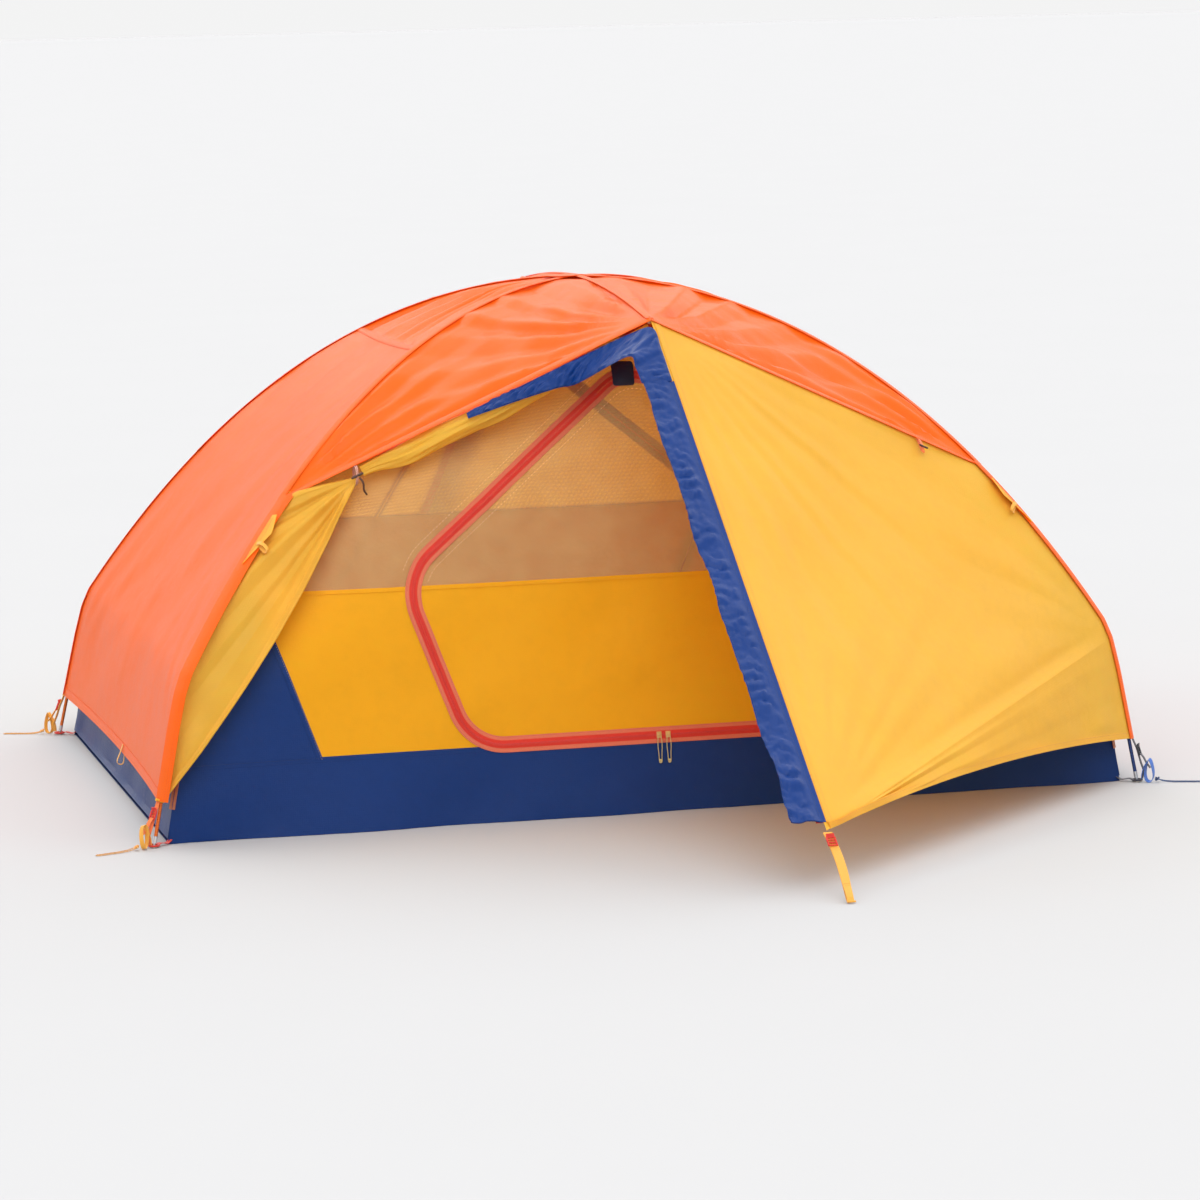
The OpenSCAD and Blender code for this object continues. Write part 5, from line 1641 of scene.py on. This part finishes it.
def door_trim(f):
    """Tapes, coil, stitches and hinge seam round a door: outer pieces stay, inner ones swing with it."""
    end = END[f]
    door = f"{end}_door"
    line, hinge = door_lines()

    def strip(name, shift, width, look, body, lift, nodes=()):
        sew(name, [wall_strip(f, line, width, TAPE_T, lift, shift)], look, body, "red_zip", *nodes)

    def threads(name, path, shift, lift, look, body, slot_name, *sizes):
        p, n, _ = wall_path(f, path, shift)
        sew(name, [stitch_part(p + n * lift, n, *sizes)], look, body, slot_name)

    # Shifts are outward from the door when positive
    turn = 1 if wall_side(line) else -1
    strip(f"{end}_door_tape_outer", turn * 0.0140, 0.010, "tape_pink", "root", 0.0020)
    strip(f"{end}_door_tape_inner", -turn * 0.0140, 0.010, "tape_pink", door, 0.0020)
    strip(f"{end}_door_tape_outer_core", turn * 0.0048, 0.0092, "tape_red", "root", 0.0028,
          ["door_zips"] if f < 0 else [])
    strip(f"{end}_door_tape_inner_core", -turn * 0.0050, 0.0088, "tape_red", door, 0.0028)
    p, n, _ = wall_path(f, line)
    sew(f"{end}_door_coil", [coil_part(p + n * 0.0034, n, 0.0066)], "coil", "root", "red_zip")
    sides = (("outer", turn, "root"), ("inner", -turn, door))
    for where, way, body in sides:
        threads(f"{end}_door_stitching_{where}", line, way * 0.0165, 0.0026, "stitch_red", body,
                "red_zip", 0.006)
    # A second line of stitches over the mesh follows the zip at a hand's breadth
    high = line[line[:, 1] > LOWER_H + 0.03]
    for where, way, body in sides:
        threads(f"{end}_door_facing_{where}", high, way * 0.032, 0.0012, "stitch_light", body, "red_zip",
                0.010, 0.005, 0.0016)
    sew(f"{end}_door_hinge_seam", [wall_strip(f, hinge, 0.016, BAND_T, 0.0014)], "gold", "root",
        "gold_cloth")
    threads(f"{end}_door_hinge_stitching", hinge, 0.0, 0.0026, "stitch_amber", "root", "gold_cloth",
            0.006)


def wall_side(line):
    """True when the right-hand side of the line is outside the door."""
    t = unit(line[200] - line[198])
    probe = line[199] + arr(t[1], -t[0]) * 0.02
    return not bool(inside(DOOR, probe[None])[0])


def wall_seams(f):
    """Level seams at the tub's and the lower wall's top, and the seams down the gussets."""
    end = END[f]
    tub = ("navy", "stitch_navy", "tub_cloth", 0.012, (-0.004, 0.003), 0.0006)
    wall = ("gold", "stitch_amber", "gold_cloth", 0.010, (-0.002,), 0.0014)

    def level(name, z, u0, u1, kind, body="root"):
        look, thread_look, slot_name, width, rows, lift = kind
        loop = np.stack([steps(u0, u1, 160), np.full(160, z)], 1)
        p, n, _ = wall_path(f, loop)
        sew(name, [wall_strip(f, loop, width, TAPE_T, lift)], look, body, slot_name)
        threads = [stitch_part(p + n * (lift + 0.0007) + arr(0, 0, 1.0) * x, n, FINE_PITCH) for x in rows]
        sew(name + "_stitching", threads, thread_look, body, slot_name)

    level(f"tub_seam_{end}", TUB_H, edge_u(f, -1, TUB_H), edge_u(f, 1, TUB_H), tub)
    cut = sorted(q[0] for q in clip_above(DOOR, LOWER_H, True) if abs(q[1] - LOWER_H) < 1e-6)
    level(f"wall_seam_{end}_a", LOWER_H, edge_u(f, -1, LOWER_H), cut[0] - 0.016, wall)
    level(f"wall_seam_{end}_b", LOWER_H, cut[-1] + 0.012, edge_u(f, 1, LOWER_H), wall)
    level(f"{end}_door_seam", LOWER_H, cut[0] + 0.018, cut[-1] - 0.012, wall, f"{end}_door")
    for su in (-1, 1):
        z = steps(TUB_H, LOWER_H, 80)
        loop = np.stack([gusset_u(f, su, z), z], 1)
        p, n, across = wall_path(f, loop)
        name = f"gusset_seam_{end}_{SIDE[-f * su]}"
        sew(name, [wall_strip(f, loop, 0.012, TAPE_T, 0.0014)], "navy", "root", "tub_cloth")
        threads = [stitch_part(p + n * 0.0022 + across * 0.0035, n, SEAM_PITCH)]
        sew(f"{name}_stitching", threads, "stitch_light", "root", "tub_cloth")


def inner_ends():
    for sx, side in SIDE.items():
        pieces = (("tub_wall", FLOOR_GAP, TUB_H, "navy", "tub_cloth", 14),
                  ("lower_wall", TUB_H, LOWER_H, "gold", "gold_cloth", 30))
        for name, z0, z1, look, slot_name, m in pieces:
            s = s_of(steps(z0, z1, m))
            g = ruled(inner((sx, -1), s), inner((sx, 1), s), 80)
            along = steps(0, 1, 80)
            h = waves(g, 0.35, 500 + sx) * 0.004 - 0.010 * (4 * along * (1 - along))[None]
            g = g + outward(g) * (h * edge_fade(m, 80, u0=0.01, u1=0.01))[..., None]
            o = put(cloth(f"{name}_{side}", oriented(g), M[look], CLOTH_T), "root", slot_name)
            declare_grid(o, g)
        s = steps(s_of(LOWER_H), 0.03, 80)
        g = ruled(inner((sx, -1), s), inner((sx, 1), s), 80)
        g = g + outward(g) * ((waves(g, 0.4, 510 + sx) * 0.004 - 0.006) * edge_fade(80, 80))[..., None]
        o = put(cloth(f"mesh_wall_{side}", oriented(g), M["mesh"], MESH_T), "root", "mesh")
        declare_grid(o, g)
        # Bindings along the poles
        for f in (-1, 1):
            s = steps(0.03, FOOT_S - 0.02, 120)
            p = inner((sx, f), s)
            t = unit(np.gradient(p, axis=0))
            out = unit(inner((sx, f), s) - arr(0, 0, 0.2))
            strip = [band_part(p, np.cross(t, out), out, 0.018, BAND_T, 0.001)]
            sew(f"pole_binding_{END[f]}_{side}", strip, "tan_band", "root", "gold_cloth")


def mesh_roof():
    for f, end in END.items():
        for sx, side in SIDE.items():
            v = steps(0.0, 0.955, 40)
            y = f * mix(plane_y(WALL_TOP), 0.0, v)
            z = mix(WALL_TOP, CROWN_H - INNER_OFF, 1 - (1 - v)**2)
            a = np.stack([LEAN * z / CROWN_H, y, z], 1)
            g = ruled(a, inner((sx, f), s_of(WALL_TOP) * (1 - v)), 40)
            g = g + arr(0, 0, 1.0) * (waves(g, 0.3, 520) * 0.003 * edge_fade(40, 40))[..., None]
            o = put(cloth(f"mesh_roof_{end}_{side}", oriented(g), M["mesh"], MESH_T), "root", "mesh",
                    *(["inner_mesh_roof"] if (f, sx) == (-1, -1) else []))
            declare_grid(o, g)
        v = steps(0.0, 0.97, 50)
        z = mix(WALL_TOP, CROWN_H - INNER_OFF, 1 - (1 - v)**2)
        line = np.stack([LEAN * z / CROWN_H, f * mix(plane_y(WALL_TOP), 0.0, v), z], 1)
        strip = [band_part(line, arr(1, 0, 0), arr(0, 0, 1), 0.030, BAND_T, 0.001)]
        sew(f"roof_binding_{end}", strip, "tan_band", "root", "gold_cloth")


def tub_floor():
    c = inner((1, 1), FOOT_S)
    gx, gy = np.meshgrid(steps(-c[0] + 0.004, c[0] - 0.004, 110), steps(-c[1] + 0.004, c[1] - 0.004, 80),
                         indexing="ij")
    flat = np.stack([gx, gy, np.zeros_like(gx)], -1)
    lump = np.abs(waves(flat[..., :2], 0.35, 530)) * 0.0026 * edge_fade(110, 80)
    g = flat + arr(0, 0, 1.0) * (0.0016 + lump)[..., None]
    o = put(cloth("tub_floor_cloth", g, M["navy"], 0.0012), "root", "tub_cloth", "tub_floor")
    declare_grid(o, g)


def zip_garage(f):
    end = END[f]
    flat, tris = filled(rounded(arr([-0.034, 1.000], [0.016, 1.000], [0.016, 1.056], [-0.034, 1.056]),
                                (0.006,) * 4, 5), 0.008)

    def shape(u, z):
        p = wall_surface(f, u, z)
        dome = 0.0060 * np.clip(1 - ((u + 0.009) / 0.030)**2, 0, 1)
        dome = dome * np.clip(1 - ((z - 1.028) / 0.034)**2, 0, 1)
        return p + arr(0, f, 0) * (0.0042 + dome)[..., None]

    sew(f"zip_garage_{end}", [plate_part(flat, tris, shape, 0.0014)], "trim", "root", "dark_trim",
        *(["zip_garages"] if f < 0 else []))


def wall_tilt(f):
    """Axes of a zip along the foot of a long wall: along it, up it and out of it."""
    x = arr(-f, 0, 0)
    up = unit(arr(0, -f * WALL_LEAN, 1.0))
    return x, up, np.cross(x, up)


def door_sliders(f):
    end = END[f]
    axes = wall_tilt(f)
    for side, x in SLIDER_X.items():
        origin = wall_surface(f, x, DOOR_LOW) + axes[2] * 0.0030
        flip = 1 if side == "right" else -1
        parts = slider_parts(origin, (axes[0] * flip, axes[1] * flip, axes[2]), 0.0120, 0.0024)
        sew(f"{end}_slider_{side}_body", parts, "slider", f"{end}_zip_{side}", "slider_metal",
            f"{end}_slider_{side}")
        knot_at = turned(PULL_ROUTE[8] + arr(x, -DOOR_Y, DOOR_LOW), f)
        a = steps(0, 2 * math.pi, 60)[:-1]
        tre = np.stack([np.sin(a) + 2 * np.sin(2 * a), 0.9 * np.sin(3 * a),
                        np.cos(a) - 2 * np.cos(2 * a)], 1)
        knot = knot_at + turned(tre * 0.00125, f) + arr(0, 0, 0.006)
        sew(f"{end}_pull_{side}_knot", [tube_part(knot, 0.0010, 10, closed=True)], "pull",
            f"{end}_zip_{side}", "pull_cord")


for f in (-1, 1):
    long_wall(f)
    door_trim(f)
    wall_seams(f)
    zip_garage(f)
    door_sliders(f)
inner_ends()
mesh_roof()
tub_floor()


# ---------- corners: webbing, buckles, loops and knots ----------
def ladder_buckle(origin, across, along, out, wide=0.018, tall=0.022):
    """A ladder-lock: two rails, bars with ridged edges and a lifted tab."""
    axes = (unit(across), unit(along), unit(out))
    at = lambda a, b, c: origin + axes[0] * a + axes[1] * b + axes[2] * c
    parts = [box_part(at(s * (wide / 2 - 0.0016), 0, 0), axes, (0.0032, tall,
                                                                0.0046), 0.25) for s in (-1, 1)]
    for b, thick in ((-tall / 2 + 0.0015, 0.0036), (-0.0036, 0.0030), (0.0034, 0.0030),
                     (tall / 2 - 0.0015, 0.0036)):
        parts.append(box_part(at(0, b, 0.0003), axes, (wide - 0.003, 0.0027, thick), 0.3))
    for k in range(5):
        parts.append(box_part(at((k - 2) * wide / 6.5, -0.0036, 0.0020), axes, (0.0013, 0.0030, 0.0012),
                              0.3))
    tilt = unit(axes[1] * -0.9 + axes[2] * 0.45)
    tab_axes = (axes[0], tilt, np.cross(axes[0], tilt))
    parts.append(box_part(at(0, -tall / 2 - 0.0030, 0.0022), tab_axes, (wide * 0.86, 0.0085, 0.0022),
                          0.35))
    for k in range(3):
        parts.append(box_part(at(0, -tall / 2 - 0.0008 - 0.0024 * k, 0.0030 + 0.0011 * k), tab_axes,
                              (wide * 0.7, 0.0009, 0.0012), 0.3))
    return parts


def knot_part(centre, size, radius, spin=0.0):
    a = steps(0, 2 * math.pi, 72)[:-1]
    tre = np.stack([np.sin(a) + 2 * np.sin(2 * a), np.cos(a) - 2 * np.cos(2 * a), 0.9 * np.sin(3 * a)],
                   1) * size / 3
    c, s = math.cos(spin), math.sin(spin)
    tre = np.stack([c * tre[:, 0] - s * tre[:, 2], tre[:, 1], s * tre[:, 0] + c * tre[:, 2]], 1)
    return tube_part(centre + tre, radius, 12, closed=True)


STRAP_FOOT = 0.026
CORNER_SEED = {"front_left": 1, "front_right": 2, "back_left": 3, "back_right": 4}


def corner(name, sx, sy):
    side = (sx, sy)
    foot = arr(sx * FOOT[0], sy * FOOT[1], 0)
    away, beside = arr(sx * 0.8, sy * 0.6, 0), arr(sx * 0.6, -sy * 0.8, 0)
    first = name == "front_left"
    top = crest(side, HEM_S, FLY_OFF) + arr(0, 0, 0.004) - away * 0.002
    bottom = foot + arr(0, 0, STRAP_FOOT) + away * 0.017
    old_top = skin(side, HEM_S, 0.009) - arr(0, 0, 0.008) + away * 0.005
    d = unit(bottom - old_top)
    out = unit(np.cross(d, beside))
    out = out * np.sign(out @ away)
    look = {"front_left": "web_orange", "back_left": "web_yellow", "front_right": "web_dark",
            "back_right": "web_dark"}[name]
    # The fly's strap runs through the buckle to the ring of webbing at the pole's foot, with a loose tail
    path = spline([top, mix(old_top, bottom, 0.10), mix(old_top, bottom, 0.30) + away * 0.001,
                   mix(old_top, bottom, 0.65),
                   bottom, foot + arr(0, 0, 0.0085) + away * 0.013], 60)
    tail = spline([mix(old_top, bottom, 0.38) + away * 0.006, mix(old_top, bottom, 0.52) + away * 0.011,
                   mix(old_top, bottom, 0.70) + away * 0.013 + beside * 0.003,
                   mix(old_top, bottom, 0.88) + away * 0.018 + beside * 0.005], 40)
    parts = [band_part(path, beside, out, 0.011, 0.0013), band_part(tail, beside, out, 0.011, 0.0013)]
    sew(f"corner_strap_{name}", parts, look, "root", "webbing", *(["corner_straps"] if first else []))
    buckle_at = mix(old_top, bottom, 0.3) + away * 0.0044
    parts = ladder_buckle(buckle_at, beside, d, out)
    plastic_look = "buckle" if sx < 0 else "black"
    sew(f"corner_buckle_{name}_body", parts, plastic_look, f"buckle_{name}", "red_plastic",
        f"corner_buckle_{name}")
    # The floor's strap from the tub corner to the grommet
    c = inner(side, FOOT_S)
    a = arr(c[0] + sx * 0.003, c[1] + sy * 0.003, 0.004)
    b = foot + arr(0, 0, 0.0062)
    flat_d = unit(b - a)
    cross_d = np.cross(flat_d, arr(0, 0, 1.0))
    line = spline([a - flat_d * 0.012 + arr(0, 0, 0.008), a + arr(0, 0, 0.001),
                   mix(a, b, 0.5) + arr(0, 0, 0.003), b - flat_d * 0.010,
                   b + flat_d * 0.011], 40)
    ring = [foot + arr(math.cos(t), math.sin(t), 0) * 0.0118 + arr(0, 0, 0.0052)
            for t in steps(0, 2 * math.pi, 48)[:-1]]
    parts = [band_part(line[:26], cross_d, arr(0, 0, 1), 0.013, 0.0014),
             tube_part(np.array(ring), 0.0024, 12, closed=True)]
    sew(f"floor_strap_{name}", parts, "web_red" if sx < 0 else "web_dark", "root", "webbing")
    # The stake loop: a strip of webbing sewn into a ring with a twist
    turn = unit(arr(sx * 0.75, sy * 0.65, 0))
    across = arr(-turn[1], turn[0], 0)
    centre = foot + turn * 0.032 + arr(0, 0, 0.001)
    r, h, k = 0.0100, 0.055, 90
    ang = steps(0, 2 * math.pi, k + 1)[:-1]
    ring = np.stack([r * np.sin(ang) * (1 + 0.25 * np.cos(ang)), np.zeros(k),
                     h / 2 + 0.0015 - h / 2 * np.cos(ang)], 1)
    twist = 0.35 * np.sin(ang + CORNER_SEED[name])
    sway = across * (0.002 * np.sin(2 * ang))[:, None]
    loop = centre + ring[:, :1] * turn + ring[:, 2:] * arr(0, 0, 1.0) + sway
    loop = np.vstack([loop, loop[:1]])
    twist = np.append(twist, twist[0])
    t = unit(np.gradient(loop, axis=0))
    base = across[None] * np.cos(twist)[:, None] + np.cross(t, across[None]) * np.sin(twist)[:, None]
    look = "web_yellow" if sx < 0 else "web_blue"
    parts = [band_part(loop, base, np.cross(t, base), 0.0105, 0.0015)]
    lead = spline([centre + arr(0, 0, 0.050) - turn * 0.004, foot + turn * 0.020 + arr(0, 0, 0.040),
                   foot + turn * 0.014 + arr(0, 0, 0.022),
                   foot + turn * 0.0128 + arr(0, 0, 0.0080)], 30)
    parts.append(loop_band(lead, across, 0.010, 0.0014))
    sew(f"stake_loop_{name}", parts, look, "root", "webbing", *(["stake_loops"] if first else []))
    cord_look = "cord_orange" if sx < 0 else "cord_blue"
    knots = [knot_part(arr(sx * 1.241, sy * 0.8975, 0.0088), 0.0052, 0.0021, 0.4)]
    sew(f"corner_knot_{name}", knots, cord_look, "root", "corner_cord")


def stake_strap(f):
    end = END[f]
    e = point(f)
    stake = e + arr(-f * 0.010, f * STAKE_REACH, 0.004 - POINT[2])
    d = unit(stake - e)
    n = unit(np.cross(arr(f, 0, 0), d))
    n = n * (1 if n[2] > 0 else -1)
    k = steps(0, 1, 70)
    sway = np.outer(np.sin(k * math.pi * 1.3) * 0.004,
                    arr(1, 0, 0)) + np.outer(np.sin(k * math.pi) * 0.002, n)
    width = 0.0200 * (1 - 0.25 * smooth(k, 0.55, 1.0))
    line = e + d * 0.006 + np.outer(k, stake - e - d * 0.006) + sway
    line[:, 2] = np.maximum(line[:, 2], 0.0022)
    parts = []
    for s in (-1, 1):
        spread = 0.0013 + 0.0026 * smooth(k, 0.72, 0.92) * (1 - smooth(k, 0.94, 1.0))
        layer = line + np.outer(s * spread, n)
        layer[:, 2] = np.maximum(layer[:, 2], 0.0012)
        parts.append(band_part(layer, arr(1, 0, 0), n, width, 0.0012))
    end_roll = stake + np.array([[x, 0, 0.0012] for x in steps(-0.0075, 0.0075, 8)])
    parts.append(tube_part(end_roll, 0.0024, 12))
    sew(f"stake_strap_{end}_webbing", parts, "web_yellow", "root", "webbing",
        *(["stake_straps"] if f < 0 else []))
    bar = [stitch_part(line[i] + n * 0.0022 + np.outer(steps(-1, 1, 12), arr(0.007, 0, 0)), n, 0.0022,
                       0.0020, 0.0010, 0.0007)
           for i in (10, 12, 52, 54)]
    sew(f"stake_strap_{end}_bartacks", bar, "stitch_orange", "root", "webbing")
    at = e + d * 0.036 + unit(np.cross(arr(1, 0, 0), d)) * f * 0.0065
    parts = ladder_buckle(at, arr(1, 0, 0), d, unit(np.cross(arr(1, 0, 0), d)) * f, 0.022, 0.024)
    sew(f"stake_buckle_{end}_frame", parts, "buckle", f"stake_buckle_{end}_body", "red_plastic",
        f"stake_buckle_{end}")


for corner_name, (sx, sy) in CORNERS.items():
    corner(corner_name, sx, sy)
for f in (-1, 1):
    stake_strap(f)
